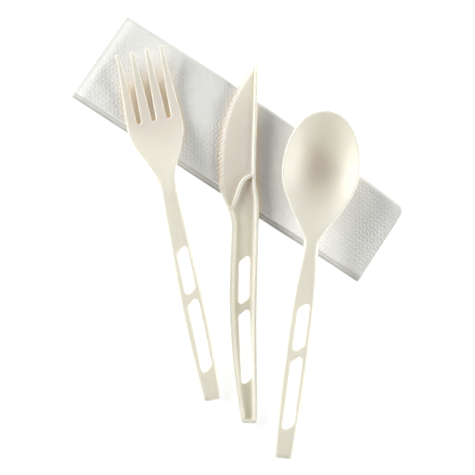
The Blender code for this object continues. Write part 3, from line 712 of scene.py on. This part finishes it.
@dataclass
class Knife:
    """A channel handle that opens upwards, a serrated blade, a spine rib and a guard rib.

    The narrow shares keep the rims, their feet and the underside within the blade's width
    where it runs out to the point.
    """

    name: str = "knife_moulding"
    node: str = "knife"
    seat: Seat = Seat((5.0762 * MM, -83.2249 * MM, 0.0), 2.2772, 0.0)
    wall: float = 1.3 * MM
    channel_depth: float = 3.2 * MM
    handle_length: float = 89.0 * MM
    heel_length: float = 19.0 * MM
    flat_length: float = 8.0 * MM
    curve_length: float = 45.5 * MM
    opens_after: float = 6.65 * MM
    left: Line = Line(
        4.0 * MM,
        (
            Span(60.0 * MM, 9.3 * MM, Ease.OUT, 2.0),
            Span(29.0 * MM, 8.5 * MM),
            Span(19.0 * MM, 13.9 * MM, power=1.1),
            Span(8.0 * MM, 14.1 * MM),
            Span(45.5 * MM, -1.8 * MM, Ease.IN, 2.35),
        ),
    )
    right: Line = Line(
        3.4 * MM,
        (
            Span(45.0 * MM, 3.0 * MM),
            Span(53.5 * MM, 4.1 * MM),
            Span(11.4 * MM, 2.7 * MM),
            Span(51.6 * MM, 3.7 * MM),
        ),
    )
    end_corner: float = 1.4 * MM
    end_lift: float = 0.6
    end_rows: tuple[float, ...] = (0.0, 0.04, 0.12, 0.25, 0.4, 0.6, 0.85, 1.1, 1.4)
    rim_width: float = 1.4 * MM
    rim_foot: float = 0.75 * MM
    rim_rounding: float = 0.9 * MM
    foot_softness: float = 1.3
    blade_foot_loss: float = 0.6
    narrow_left: tuple[float, float] = (0.2, 0.35)
    narrow_right: tuple[float, float] = (0.3, 0.45)
    narrow_under: float = 0.2
    spine_tip_height: float = 1.9 * MM
    edge_band: float = 2.2 * MM
    edge_thickness: float = 0.45 * MM
    edge_rounding: float = 0.15 * MM
    bevel_lip_width: float = 0.45
    bevel_lip_height: float = 0.4
    outer_rounding: float = 0.9 * MM
    outer_draft: float = 0.1 * MM
    tooth_pitch: float = 2.0 * MM
    tooth_depth: float = 0.7 * MM
    gullet_at_lip: float = 0.5
    gullet_at_foot: float = 0.8
    flute_depth: float = 0.6 * MM
    flute_slant: float = 0.7
    flute_reach: float = 1.25
    rows_per_tooth: int = 8
    teeth_from_point: float = 1.2 * MM
    point_length: float = 0.4 * MM
    point_rounding: float = 0.5 * MM
    point_rows: tuple[float, ...] = (1.0, 0.5, 0.2, 0.0)
    floor_rows: int = 7
    row_step: float = 0.8 * MM
    corner_steps: int = 4
    edge_samples: int = 600
    row_samples: int = 4000
    rib_width: float = 1.7 * MM
    rib_step: float = 0.2 * MM
    rib_foot: float = 0.5 * MM
    rib_rounding: float = 0.5 * MM
    rib_past_heel: float = 3.6 * MM
    rib_length: float = 15.8 * MM
    rib_rows: int = 41
    rib_spine_arm: tuple[float, float] = (-8.7 * MM, -1.0 * MM)
    rib_rim_arm: tuple[float, float] = (5.5 * MM, 6.7 * MM)
    windows: Windows = field(default_factory=lambda: Windows(from_end=16.4 * MM))
    window_rounding: float = 0.35 * MM
    cut_merge: float = 0.005 * MM

    @property
    def heel(self) -> float:
        """The station of the blade's heel."""
        return self.handle_length + self.heel_length

    @property
    def length(self) -> float:
        """The knife's whole length."""
        return self.heel + self.flat_length + self.curve_length

    def middle(self, station: float) -> float:
        """The handle's middle line, half way between its sides."""
        return float(self.right.at(station) - self.left.at(station)) / 2.0

    def travelled(self, stations: np.ndarray) -> np.ndarray:
        """The distance along the curved edge from the heel to each station."""
        samples = np.linspace(self.heel, self.length - self.teeth_from_point, self.edge_samples)
        steps = np.hypot(np.diff(samples), np.diff(self.left.at(samples)))
        return np.interp(stations, samples, np.concatenate(([0.0], np.cumsum(steps))))

    def stations(self) -> np.ndarray:
        """The rows: close together at the end, even along the handle and set to the teeth."""
        foot = self.rim_width + self.rim_foot
        end = np.array(self.end_rows) * MM
        floor = np.linspace(self.rim_width, foot, self.floor_rows)
        handle = np.arange(foot + self.row_step, self.heel, self.row_step)
        samples = np.linspace(self.heel, self.length - self.teeth_from_point, self.row_samples)
        gone = self.travelled(samples)
        teeth = int(gone[-1] / self.tooth_pitch)
        marks = np.linspace(0.0, gone[-1], teeth * self.rows_per_tooth + 1)
        blade = np.interp(marks, gone, samples)
        tip = self.length - self.point_length * np.array(self.point_rows)
        return np.concatenate((end, floor, handle, blade, tip))

    def section(self, station: float, phase: float) -> Loop:
        """The closed section at a station.

        Args:
            station: The place along the knife.
            phase: 0 at the points of the teeth and 1 in the gullets.

        Returns:
            The section's points, from the left rim over the top and back below.
        """
        corner = max(0.0, self.end_corner - station)
        inset = self.end_corner - math.sqrt(self.end_corner ** 2 - corner ** 2)
        inset += self.point_rounding * max(0.0, (station - self.length) / self.point_length + 1.0)
        gullet = self.tooth_depth * phase
        blade_start = self.handle_length + self.opens_after
        blade = float(ease((station - blade_start) / (self.heel - blade_start)))
        along = float(np.clip((station - self.heel) / (self.length - self.heel), 0.0, 1.0))
        left = inset + gullet - float(self.left.at(station))
        right = float(self.right.at(station)) - inset
        width = right - left
        round_over = max(0.0, self.rim_rounding - station)
        end_drop = self.rim_rounding - math.sqrt(self.rim_rounding ** 2 - round_over ** 2)
        rim = self.channel_depth - end_drop
        foot = self.rim_width + self.rim_foot
        rim_left = rim + (self.edge_thickness - rim) * blade
        rim_right = rim + (self.spine_tip_height - rim) * along
        band = self.edge_band * self.bevel_lip_width
        lip_left = self.rim_width + (band - self.rim_width) * blade - gullet * self.gullet_at_lip
        lip_left = min(lip_left, width * self.narrow_left[0])
        foot_left = foot + (self.edge_band - foot) * blade - gullet * self.gullet_at_foot
        foot_left = min(foot_left, width * self.narrow_left[1])
        lip_right = min(self.rim_width, width * self.narrow_right[0])
        foot_right = self.rim_width + self.rim_foot * (1.0 - blade * self.blade_foot_loss)
        foot_right = min(foot_right, width * self.narrow_right[1])
        floor = rim + (self.wall - rim) * float(ease((station - self.rim_width) / self.rim_foot))
        lip = self.edge_thickness + (self.wall - self.edge_thickness) * self.bevel_lip_height
        lip = rim_left + (lip - rim_left) * blade
        under = min(self.outer_rounding, width * self.narrow_under)
        outer_height = self.outer_rounding + (self.edge_rounding - self.outer_rounding) * blade
        low = end_drop * self.end_lift
        soft = self.rim_rounding
        middle = (left + foot_left + right - foot_right) / 2.0
        corners = [
            (left, rim_left, soft),
            (left + lip_left, lip, soft),
            (left + foot_left, floor, soft * self.foot_softness),
            (middle, floor, soft),
            (right - foot_right, floor, soft * self.foot_softness),
            (right - lip_right, rim_right, soft),
            (right, rim_right, soft),
            (right - self.outer_draft, self.outer_rounding, soft),
            (right - under, low, soft),
            (middle, low, soft),
            (left + under * (1.0 + blade), low, soft),
            (left + self.outer_draft * (1.0 - blade), outer_height, soft),
        ]
        return filleted(corners, self.corner_steps)

    def body(self) -> bmesh.types.BMesh:
        """The handle and the blade, without the guard rib and the windows."""
        stations = self.stations()
        gone = self.travelled(stations)
        toothed = (stations >= self.heel) & (stations <= self.length - self.teeth_from_point)
        phases = (1.0 - np.abs(np.sin(gone * math.pi / self.tooth_pitch))) * toothed
        sections = np.array([self.section(float(s), float(p)) for s, p in zip(stations, phases)])
        along = np.broadcast_to(stations[:, None], sections.shape[:2])
        bm = tube(np.stack((sections[:, :, 0], along, sections[:, :, 1]), axis=2), MERGE)
        self.flute(bm)
        bmesh.ops.recalc_face_normals(bm, faces=bm.faces)
        return bm

    def flute(self, bm: bmesh.types.BMesh) -> None:
        """Press slanted flutes into the bevel behind the teeth.

        Args:
            bm: The knife's body, in the knife's own frame.
        """
        places = np.array([vert.co for vert in bm.verts])
        behind = places[:, 0] + self.left.at(places[:, 1])
        gone = self.travelled(places[:, 1]) - behind * self.flute_slant
        start = ease((places[:, 1] - self.heel) / self.tooth_pitch)
        end = ease((self.length - self.teeth_from_point - places[:, 1]) / self.tooth_pitch)
        fade = ease(self.flute_reach - behind / self.edge_band) * start * end
        above = np.clip((places[:, 2] - self.edge_rounding) / (self.wall - self.edge_rounding), 0.0, 1.0)
        sink = self.flute_depth * (1.0 - np.abs(np.sin(gone * math.pi / self.tooth_pitch))) * fade * above
        for vert, depth in zip(bm.verts, sink):
            vert.co.z -= depth

    def guard_rib(self) -> bmesh.types.BMesh:
        """The curved rib from the spine to the other rim, along a cubic curve with two arms."""
        start_y = self.heel + self.rib_past_heel
        end_y = start_y - self.rib_length
        start = np.array((float(self.right.at(start_y)) - self.rim_width / 2.0, start_y))
        end = np.array((self.rim_width / 2.0 - float(self.left.at(end_y)), end_y))
        arms = (start, start + self.rib_spine_arm, end + self.rib_rim_arm, end)
        weights = ((1.0, 3.0, 3.0, 1.0), (3, 2, 1, 0), (0, 1, 2, 3))
        t = np.linspace(0.0, 1.0, self.rib_rows)
        line = sum(
            w * arm * ((1.0 - t) ** a * t ** b)[:, None] for arm, w, a, b in zip(arms, *weights)
        )
        ahead = np.gradient(line, axis=0)
        aside = np.stack((-ahead[:, 1], ahead[:, 0]), axis=1)
        aside *= self.rib_width / 2.0 / np.linalg.norm(aside, axis=1)[:, None]
        outline = [tuple(p) for p in line - aside] + [tuple(p) for p in (line + aside)[::-1]]
        top = self.channel_depth - self.rib_step
        bm = Blank(outline, top - self.rib_foot, self.rib_rounding).build()
        bm.transform(Matrix.Translation((0.0, 0.0, top)))
        return bm

    def build(self) -> bmesh.types.BMesh:
        """The whole knife as a closed mesh, at its seat."""
        knife = object_from(self.body(), self.name + "_body")
        tools = [(object_from(self.guard_rib(), "guard_rib"), "UNION")]
        for outline in self.windows.outlines(self.middle, self.row_step):
            plug = WindowPlug(outline, self.wall, self.window_rounding)
            tools.append((object_from(plug.build(), "window"), "DIFFERENCE"))
        for tool, operation in tools:
            modifier = knife.modifiers.new(operation, "BOOLEAN")
            modifier.operation = operation
            modifier.solver = "EXACT"
            modifier.object = tool
        graph = bpy.context.evaluated_depsgraph_get()
        bm = bmesh.new()
        bm.from_object(knife, graph)
        for obj in (knife, *(tool for tool, _ in tools)):
            bpy.data.objects.remove(obj)
        bmesh.ops.remove_doubles(bm, verts=bm.verts, dist=self.cut_merge)
        bmesh.ops.triangulate(bm, faces=[face for face in bm.faces if len(face.verts) > 4])
        bm.transform(self.seat.matrix())
        return bm


@dataclass(frozen=True)
class Embossing:
    """The tissue's relief: scattered soft dots over broad swells.

    The dots stand where several waves cross. The waves differ in direction, pitch and phase, so
    the dots fall in no rows, and they are stronger in patches and towards the right end.
    """

    dot_pitch: float = 1.5 * MM
    dot_height: float = 0.31 * MM
    dot_ground: float = 0.3
    dot_softness: float = 2.2
    waves: int = 7
    first_turn: float = 0.3
    least_pitch: float = 0.85
    pitch_range: float = 0.4
    pitch_step: float = 0.618
    phase: float = 2.4
    patch_along: tuple[float, float] = (11.3 * MM, 15.0 * MM)
    patch_across: tuple[float, float] = (9.1 * MM, 6.7 * MM)
    patch_bend: tuple[float, float] = (1.7, 1.3)
    patch_strength: tuple[float, float] = (0.6, 0.15)
    end_strength: tuple[float, float] = (0.85, 0.45)
    swell_height: float = 0.05 * MM
    swell_ground: float = 0.6
    swell_length: float = 17.0 * MM
    swell_slant: float = 60.0
    swell_squeeze: float = 1.15
    swell_phase: float = 1.0

    def dots(self, along: np.ndarray, across: np.ndarray) -> np.ndarray:
        """The dots as a share of their full height, before they are weakened in patches."""
        total = np.zeros(np.broadcast(along, across).shape)
        for index in range(self.waves):
            turn = math.pi * (index + self.first_turn) / self.waves
            pitch = self.dot_pitch * (self.least_pitch + self.pitch_range * (index * self.pitch_step % 1.0))
            place = along * math.cos(turn) + across * math.sin(turn)
            total = total + np.sin(2.0 * math.pi * place / pitch + self.phase * index ** 2)
        return 0.5 + 0.5 * np.tanh(total / self.dot_softness)

    def height(self, along: np.ndarray, across: np.ndarray, length: float) -> np.ndarray:
        """The relief's height over the plain sheet.

        Args:
            along: The place along the folded sheet.
            across: The place across it.
            length: The folded sheet's length.

        Returns:
            The height, below 0 between the dots.
        """
        bend = self.patch_bend
        patch = np.sin(along / self.patch_along[0] + bend[0] * np.sin(across / self.patch_across[0]))
        patch = patch + np.sin(across / self.patch_across[1] + bend[1] * np.sin(along / self.patch_along[1]))
        strength = self.patch_strength[0] + self.patch_strength[1] * patch
        strength = strength * (self.end_strength[0] + self.end_strength[1] * along / length)
        turn = 2.0 * math.pi / self.swell_length
        swell = np.sin(along * turn + self.swell_slant * across)
        swell = swell * np.sin(across * turn * self.swell_squeeze + self.swell_phase)
        dots = self.dot_height * (self.dots(along, across) * strength - self.dot_ground)
        return dots + self.swell_height * (swell - self.swell_ground)


@dataclass
class Napkin:
    """A doubled sheet of tissue, folded in eighths across and embossed with scattered dots."""

    name: str = "napkin_sheet"
    node: str = "napkin"
    seat: Seat = Seat((-74.0238 * MM, 62.8751 * MM, 0.0), 0.0, -32.9)
    sheet_length: float = 304.0 * MM
    sheet_width: float = 331.2 * MM
    panels: int = 8
    leaf_thickness: float = 0.34 * MM
    leaf_pitch: float = 0.46 * MM
    ply_gap: float = 0.02 * MM
    top_panel_step: float = 2.5 * MM
    second_fold_step: float = 1.1 * MM
    free_edge_step: float = 0.4 * MM
    fold_bow: float = 0.6 * MM
    fold_bow_rate: float = 1.5
    fold_skew: float = 4.6 * MM
    fold_skew_power: float = 2.6
    fold_corner: float = 2.4 * MM
    fold_steps: tuple[int, int] = (2, 4)
    dense_step: float = 0.36 * MM
    coarse_step: float = 6.0 * MM
    end_inset: float = 0.3 * MM
    embossing: Embossing = Embossing()
    relief_from: float = 4.0 * MM
    end_droop: float = 0.4
    end_droop_over: float = 6.5 * MM
    end_skew: float = 1.5 * MM
    end_skew_over: float = 30.0 * MM
    side_droop: float = 0.55
    side_droop_over: float = 4.6 * MM
    merge: float = 0.002 * MM

    @property
    def length(self) -> float:
        """The folded sheet's length."""
        return self.sheet_length / 2.0

    @property
    def fold_reach(self) -> float:
        """How far the widest fold stands out, to the middle of its outermost leaf."""
        return self.leaf_pitch * ((self.panels - 1) / 2.0)

    def fold_path(self) -> list[tuple[float, float, float]]:
        """The folded sheet seen from its end: share of the width, shift and layer.

        Folding a strip in half three times stacks its eight panels in this order from the
        floor up: 1, 8, 5, 4, 3, 6, 7, 2.
        """
        layer_of_panel = (0, 7, 4, 3, 2, 5, 6, 1)
        steps_back = {
            (7, 4): self.top_panel_step,
            (5, 6): self.top_panel_step,
            (3, 2): self.second_fold_step,
        }
        half_leaf = self.leaf_thickness / 2.0
        path = [(0.0, 0.0, 0.0)]
        for panel in range(self.panels - 1):
            here, there = layer_of_panel[panel], layer_of_panel[panel + 1]
            radius = abs(there - here) / 2.0
            turn_up = 1.0 if there > here else -1.0
            upper = panel % 2 == 0
            side = 1.0 if upper else -1.0
            if upper:
                shift = -(self.fold_reach + half_leaf)
            else:
                # The fold between layers 5 and 6 lies within the one between layers 7 and 4.
                widest = 1.5 if here in (7, 5) else 0.5
                shift = steps_back[here, there] + self.leaf_pitch * widest + half_leaf
            steps = self.fold_steps[0] + self.fold_steps[1] * math.ceil(radius)
            for step in range(steps + 1):
                angle = math.pi * (step / steps - 0.5)
                level = (here + there) / 2.0 + turn_up * radius * math.sin(angle)
                place = (float(upper), shift + side * self.leaf_pitch * radius * math.cos(angle), level)
                path.append(place)
        path.append((0.0, self.free_edge_step, 1.0))
        return path

    def dense_path(self) -> np.ndarray:
        """The fold path with the top panel divided finely."""
        path = np.array(self.fold_path())
        crosses = path[:-1, 0] != path[1:, 0]
        top = int(np.argmax((path[:-1, 2] + path[1:, 2]) * crosses))
        count = round(self.sheet_width / self.panels / self.dense_step)
        shares = np.linspace(0.0, 1.0, count + 1)[1:-1, None]
        between = path[top] + (path[top + 1] - path[top]) * shares
        return np.concatenate((path[: top + 1], between, path[top + 1 :]))

    def fold_line(self, along: np.ndarray) -> np.ndarray:
        """The place of the far fold across the napkin, with its bow and its round corner."""
        share = along / self.length
        bow = self.fold_bow * np.sin(math.pi * np.minimum(1.0, share * self.fold_bow_rate))
        past = np.maximum(0.0, along - (self.length - self.fold_corner))
        corner = self.fold_corner - np.sqrt(np.maximum(0.0, self.fold_corner ** 2 - past ** 2))
        width = self.sheet_width / self.panels + self.top_panel_step
        return width + bow - self.fold_skew * share ** self.fold_skew_power - corner

    def rows(self, step: float) -> list[float]:
        """Even places along the napkin, an inset short of both ends."""
        last = self.length - self.end_inset
        return list(np.linspace(self.end_inset, last, round(self.length / step)))

    def profile(self) -> list[tuple[float, float]]:
        """The doubled sheet's section along its length: place along and place in the leaf.

        The sheet is closed at the left end and its two layers part at the right one.
        """
        length = self.length
        outer = self.leaf_thickness / 2.0
        inner = self.ply_gap / 2.0
        dense = self.rows(self.dense_step)
        coarse = self.rows(self.coarse_step)
        inside = [max(place, outer - inner) for place in coarse]
        lower = [(0.0, -inner)] + [(place, -outer) for place in dense] + [(length, -outer)]
        slit = [(length, -inner)] + [(place, -inner) for place in reversed(inside)]
        slit += [(place, inner) for place in inside] + [(length, inner)]
        upper = [(length, outer)] + [(place, outer) for place in reversed(coarse)] + [(0.0, inner)]
        return lower + slit + upper

    def build(self) -> bmesh.types.BMesh:
        """The folded sheet as a closed mesh, at its seat."""
        path = self.dense_path()
        along, offset = np.array(self.profile()).T
        line = self.fold_line(along)
        across = path[:, 0:1] * line[None, :] + path[:, 1:2]
        height = np.repeat((path[:, 2:3] + 0.5) * self.leaf_pitch, len(along), axis=1)
        step_y = np.gradient(across, axis=0)
        step_z = np.gradient(height, axis=0)
        step = np.hypot(step_y, step_z)
        across = across - step_z / step * offset
        height = height + step_y / step * offset
        settle = (self.leaf_thickness - self.leaf_pitch) / 2.0
        droop = 1.0 - self.end_droop * (1.0 - ease(along / self.end_droop_over)) ** 2
        near = ease((across + self.fold_reach) / self.side_droop_over)
        lift = (height + settle) * droop * (1.0 - self.side_droop * (1.0 - near))
        top = (path[:, 2:3] == self.panels - 1) * (offset < -self.ply_gap)
        rise = self.embossing.height(along, across, self.length)
        lift = lift + rise * top * ease(along / self.relief_from)
        skew = self.end_skew * (1.0 - ease(along / self.end_skew_over)) * (1.0 - across / line.max())
        bm = tube(np.stack((along - skew, across, lift), axis=2), self.merge)
        bmesh.ops.triangulate(bm, faces=[face for face in bm.faces if len(face.verts) > 4])
        bmesh.ops.recalc_face_normals(bm, faces=bm.faces)
        bm.transform(self.seat.matrix())
        return bm


def object_from(bm: bmesh.types.BMesh, name: str) -> bpy.types.Object:
    """A new object in the scene that holds the mesh.

    Args:
        bm: The mesh, which is freed.
        name: The object's name.

    Returns:
        The object.
    """
    mesh = bpy.data.meshes.new(name)
    bm.to_mesh(mesh)
    bm.free()
    obj = bpy.data.objects.new(name, mesh)
    bpy.context.scene.collection.objects.link(obj)
    return obj


def linear(colour: str) -> tuple[float, float, float, float]:
    """An sRGB hex colour as linear light."""
    values = [int(colour[i : i + 2], 16) / 255.0 for i in (1, 3, 5)]
    light = [v / 12.92 if v <= 0.04045 else ((v + 0.055) / 1.055) ** 2.4 for v in values]
    return (*light, 1.0)


def set_inputs(tree: bpy.types.NodeTree, node: bpy.types.Node, inputs: dict) -> None:
    """Give a node its inputs, a link from each socket and a plain value otherwise.

    Args:
        tree: The node tree.
        node: The node.
        inputs: Values or sockets for its inputs, by name or number.
    """
    for name, value in inputs.items():
        if isinstance(value, bpy.types.NodeSocket):
            tree.links.new(value, node.inputs[name])
        else:
            node.inputs[name].default_value = value


def add_node(
    tree: bpy.types.NodeTree, kind: str, inputs: dict, output: str, **settings: object
) -> bpy.types.NodeSocket:
    """Add a node with its settings and links.

    Args:
        tree: The node tree.
        kind: The node's type.
        inputs: Values or sockets for its inputs, by name or number.
        output: The name of the output that is wanted.
        settings: Its own properties.

    Returns:
        The output's socket.
    """
    node = tree.nodes.new(kind)
    for name, value in settings.items():
        setattr(node, name, value)
    set_inputs(tree, node, inputs)
    return node.outputs[output]


def mixed(tree: bpy.types.NodeTree, share: object, first: object, second: object) -> bpy.types.NodeSocket:
    """Two colours, mixed by a share of the second."""
    inputs = {"Factor": share, "A": first, "B": second}
    return add_node(tree, "ShaderNodeMix", inputs, "Result", data_type="RGBA")


def ranged(
    tree: bpy.types.NodeTree, value: object, source: tuple[float, float], target: tuple[float, float]
) -> bpy.types.NodeSocket:
    """A value carried from one range to another and held within it."""
    inputs = {
        "Value": value,
        "From Min": source[0],
        "From Max": source[1],
        "To Min": target[0],
        "To Max": target[1],
    }
    return add_node(tree, "ShaderNodeMapRange", inputs, "Result")


def worked_out(tree: bpy.types.NodeTree, operation: str, *values: object) -> bpy.types.NodeSocket:
    """The result of an operation on values or sockets."""
    return add_node(tree, "ShaderNodeMath", dict(enumerate(values)), "Value", operation=operation)


def bumped(tree: bpy.types.NodeTree, height: object, distance: float) -> bpy.types.NodeSocket:
    """A pattern as unevenness of the surface, with its real height."""
    return add_node(tree, "ShaderNodeBump", {"Height": height, "Distance": distance}, "Normal")


def new_material(name: str) -> tuple[bpy.types.Material, bpy.types.NodeTree, bpy.types.Node]:
    """A new material with its node tree and its shader."""
    material = bpy.data.materials.new(name)
    material.use_nodes = True
    return material, material.node_tree, material.node_tree.nodes["Principled BSDF"]


@dataclass(frozen=True)
class Noise:
    """A cloudy pattern: the real size of its cells, their detail, roughness and distortion."""

    size: float
    detail: float
    roughness: float
    distortion: float = 0.0

    def add(self, tree: bpy.types.NodeTree, place: bpy.types.NodeSocket) -> bpy.types.NodeSocket:
        """Add the pattern to a node tree.

        Args:
            tree: The node tree.
            place: The socket that gives the place on the piece.

        Returns:
            The pattern's socket.
        """
        inputs = {
            "Vector": place,
            "Scale": 1.0 / self.size,
            "Detail": self.detail,
            "Roughness": self.roughness,
            "Distortion": self.distortion,
        }
        return add_node(tree, "ShaderNodeTexNoise", inputs, "Fac")


@dataclass(frozen=True)
class Bioplastic:
    """Injection-moulded ivory bioplastic: satin, a little translucent, warm in its depth."""

    name: str = "Injection-moulded ivory bioplastic"
    colour: str = "#eae8e0"
    cloud_colour: str = "#e6e3d8"
    clouds: Noise = Noise(9.0 * MM, 3.0, 0.55)
    grain: Noise = Noise(0.5 * MM, 4.0, 0.6)
    grain_height: float = 0.004 * MM
    roughness: float = 0.4
    roughness_change: float = 0.06
    ior: float = 1.46
    depth_weight: float = 0.88
    depth_reach: tuple[float, float, float] = (1.0, 0.96, 0.74)
    depth_scale: float = 2.65 * MM

    def material(self) -> bpy.types.Material:
        """The finish as a material: clouded colour, fine mould grain and soft depth."""
        material, tree, shader = new_material(self.name)
        place = add_node(tree, "ShaderNodeTexCoord", {}, "Object")
        # The clouds are a shade warmer, which keeps a broad face from looking like flat paint.
        clouds = self.clouds.add(tree, place)
        # The grain breaks up the gloss into satin. It is drawn coarser than in the mould, where
        # it would be too fine to show.
        grain = self.grain.add(tree, place)
        smoothest = self.roughness - self.roughness_change
        roughest = self.roughness + self.roughness_change
        # The depth lets light pass the rims and soften the shade inside the channels.
        inputs = {
            "Base Color": mixed(tree, clouds, linear(self.colour), linear(self.cloud_colour)),
            "Roughness": ranged(tree, grain, (0.0, 1.0), (smoothest, roughest)),
            "Normal": bumped(tree, grain, self.grain_height),
            "IOR": self.ior,
            "Subsurface Weight": self.depth_weight,
            "Subsurface Radius": self.depth_reach,
            "Subsurface Scale": self.depth_scale,
        }
        set_inputs(tree, shader, inputs)
        return material


@dataclass(frozen=True)
class Tissue:
    """Two-ply embossed tissue: dull, fibrous and nearly white."""

    name: str = "Embossed two-ply white tissue"
    colour: str = "#f3f3f0"
    fibre_colour: str = "#e6e5df"
    fibres: Noise = Noise(0.45 * MM, 3.0, 0.7, 1.2)
    fibre_height: float = 0.05 * MM
    mottle: Noise = Noise(6.0 * MM, 5.0, 0.6)
    roughness: float = 0.95
    specular_level: float = 0.2
    # Painted shade: the grey of the lower leaves where nearby surfaces hide the light.
    painted_crease_shade: str = "#8f8b7c"
    # Painted light: the amber of light passed on through the plastic, used as base colour and as the colour
    # of a painted glow.
    glow_colour: str = "#bf9a40"
    light_colour: str = "#f8bb3c"
    glow_reach: float = 5.5 * MM
    glow_samples: int = 8
    openness: tuple[float, float] = (0.1, 0.8)
    glow_strength: float = 0.9
    glow_light: float = 0.34
    glow_heights: tuple[float, float] = (1.8 * MM, 2.8 * MM)
    # Painted light: a faint glow of the top leaf, standing for light that the thin sheet passes on.
    thin_light: float = 0.07

    def material(self) -> bpy.types.Material:
        """The finish as a material: mottled colour, dull fibres, painted amber light under the plastic and
        painted shade between the leaves.
        """
        material, tree, shader = new_material(self.name)
        place = add_node(tree, "ShaderNodeTexCoord", {}, "Object")
        # The mottle is the thick and thin of the pulp, which keeps the white from looking flat.
        mottle = self.mottle.add(tree, place)
        colour = mixed(tree, mottle, linear(self.colour), linear(self.fibre_colour))
        # The fibres make the sheet dull and soft. They are drawn coarser than real fibres, which
        # would be too fine to show.
        fibres = self.fibres.add(tree, place)
        # Painted light and shade: where nearby surfaces hide the light, close under the cutlery the colour
        # is mixed towards amber, painted for the light that the plastic passes on. Lower down, between the
        # leaves, it is mixed towards a darker grey, painted shade.
        reach = {"Distance": self.glow_reach}
        nearby = add_node(tree, "ShaderNodeAmbientOcclusion", reach, "AO", samples=self.glow_samples)
        shade = ranged(tree, nearby, self.openness, (self.glow_strength, 0.0))
        height = add_node(tree, "ShaderNodeSeparateXYZ", {0: place}, "Z")
        upper = ranged(tree, height, self.glow_heights, (0.0, 1.0))
        under = worked_out(tree, "MULTIPLY", shade, upper)
        painted_shade_and_amber = mixed(tree, upper, linear(self.painted_crease_shade), linear(self.glow_colour))
        # Painted glow: the top leaf gives out a little light of its own, which makes it look thin.
        thin = worked_out(tree, "MULTIPLY", upper, self.thin_light)
        # The base colour carries the painted amber light and the painted shade; the emission is a painted
        # amber glow under the cutlery plus a painted glow on the top leaf.
        inputs = {
            "Base Color": mixed(tree, shade, colour, painted_shade_and_amber),
            "Emission Color": mixed(tree, under, linear(self.colour), linear(self.light_colour)),
            "Emission Strength": worked_out(tree, "MULTIPLY_ADD", under, self.glow_light, thin),
            "Normal": bumped(tree, fibres, self.fibre_height),
            "Roughness": self.roughness,
            "Specular IOR Level": self.specular_level,
        }
        set_inputs(tree, shader, inputs)
        return material


@dataclass(frozen=True)
class SoftBox:
    """A rectangular studio light that points at the pack."""

    name: str
    place: tuple[float, float, float]
    size: tuple[float, float]
    power: float
    colour: str = WHITE

    def build(self) -> None:
        """Add the light to the scene."""
        light = bpy.data.lights.new(self.name, "AREA")
        light.shape = "RECTANGLE"
        light.size, light.size_y = self.size
        light.energy = self.power
        light.color = linear(self.colour)[:3]
        obj = bpy.data.objects.new(self.name, light)
        obj.location = self.place
        obj.rotation_euler = (-Vector(self.place)).to_track_quat("-Z", "Y").to_euler()
        bpy.context.scene.collection.objects.link(obj)


@dataclass
class Studio:
    """The camera, the floor and the lights."""

    view_middle: tuple[float, float, float] = (-0.54 * MM, 0.34 * MM, 3.6 * MM)
    view_width: float = 213.75 * MM
    camera_height: float = 2.2
    floor_size: float = 6.0
    view_reach: float = 20.0
    floor_colour: str = "#bcbcbb"
    floor_roughness: float = 0.9
    floor_glow: float = 0.75
    ambient: float = 0.2
    lights: tuple[SoftBox, ...] = (
        SoftBox("key", (-0.95, 0.3, 0.38), (0.9, 0.45), 12.8),
        SoftBox("fill", (0.96, -0.1, 0.37), (0.9, 0.4), 9.0),
        SoftBox("top", (0.15, 1.0, 0.45), (1.1, 0.4), 0.9),
    )

    def build(self) -> None:
        """Set the studio up."""
        scene = bpy.context.scene
        data = bpy.data.cameras.new("camera")
        data.angle = 2.0 * math.atan(self.view_width / 2.0 / self.camera_height)
        data.clip_end = self.view_reach
        camera = bpy.data.objects.new("camera", data)
        camera.location = Vector(self.view_middle) + Vector((0.0, 0.0, self.camera_height))
        scene.collection.objects.link(camera)
        scene.camera = camera
        scene.view_settings.view_transform = "Standard"
        for light in self.lights:
            light.build()
        world = bpy.data.worlds.new("studio")
        world.use_nodes = True
        background = world.node_tree.nodes["Background"]
        set_inputs(world.node_tree, background, {"Color": linear(WHITE), "Strength": self.ambient})
        scene.world = world
        self.floor()

    def floor(self) -> bpy.types.Object:
        """A pale floor that glows a little, as white studio paper does when it is overexposed."""
        bm = bmesh.new()
        bmesh.ops.create_grid(bm, x_segments=1, y_segments=1, size=self.floor_size / 2.0)
        floor = object_from(bm, "floor")
        material, tree, shader = new_material("White studio paper")
        inputs = {
            "Base Color": linear(self.floor_colour),
            "Roughness": self.floor_roughness,
            "Emission Color": linear(WHITE),
            "Emission Strength": self.floor_glow,
        }
        set_inputs(tree, shader, inputs)
        floor.data.materials.append(material)
        return floor


def place_piece(
    piece: Fork | Spoon | Knife | Napkin, material: bpy.types.Material
) -> bpy.types.Object:
    """Build a piece, dress it and put it in place of its CAD node.

    Args:
        piece: The piece to build.
        material: Its finish.

    Returns:
        The finished object.
    """
    obj = object_from(piece.build(), piece.name)
    obj.data.materials.append(material)
    obj.data.shade_smooth()
    obj.data.set_sharp_from_angle(angle=SHARP_ANGLE)
    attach(obj, "root")
    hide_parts(piece.node)
    LOG.info("%s: %d faces", piece.name, len(obj.data.polygons))
    return obj


def main() -> None:
    """Build the pack and the studio."""
    logging.basicConfig(level=logging.INFO, format="%(message)s")
    plastic = Bioplastic().material()
    napkin = Napkin()
    sheet = place_piece(napkin, Tissue().material())
    for piece in (Fork(), Knife(), Spoon()):
        place_piece(piece, plastic)
    Studio().build()


if __name__ == "__main__":
    main()
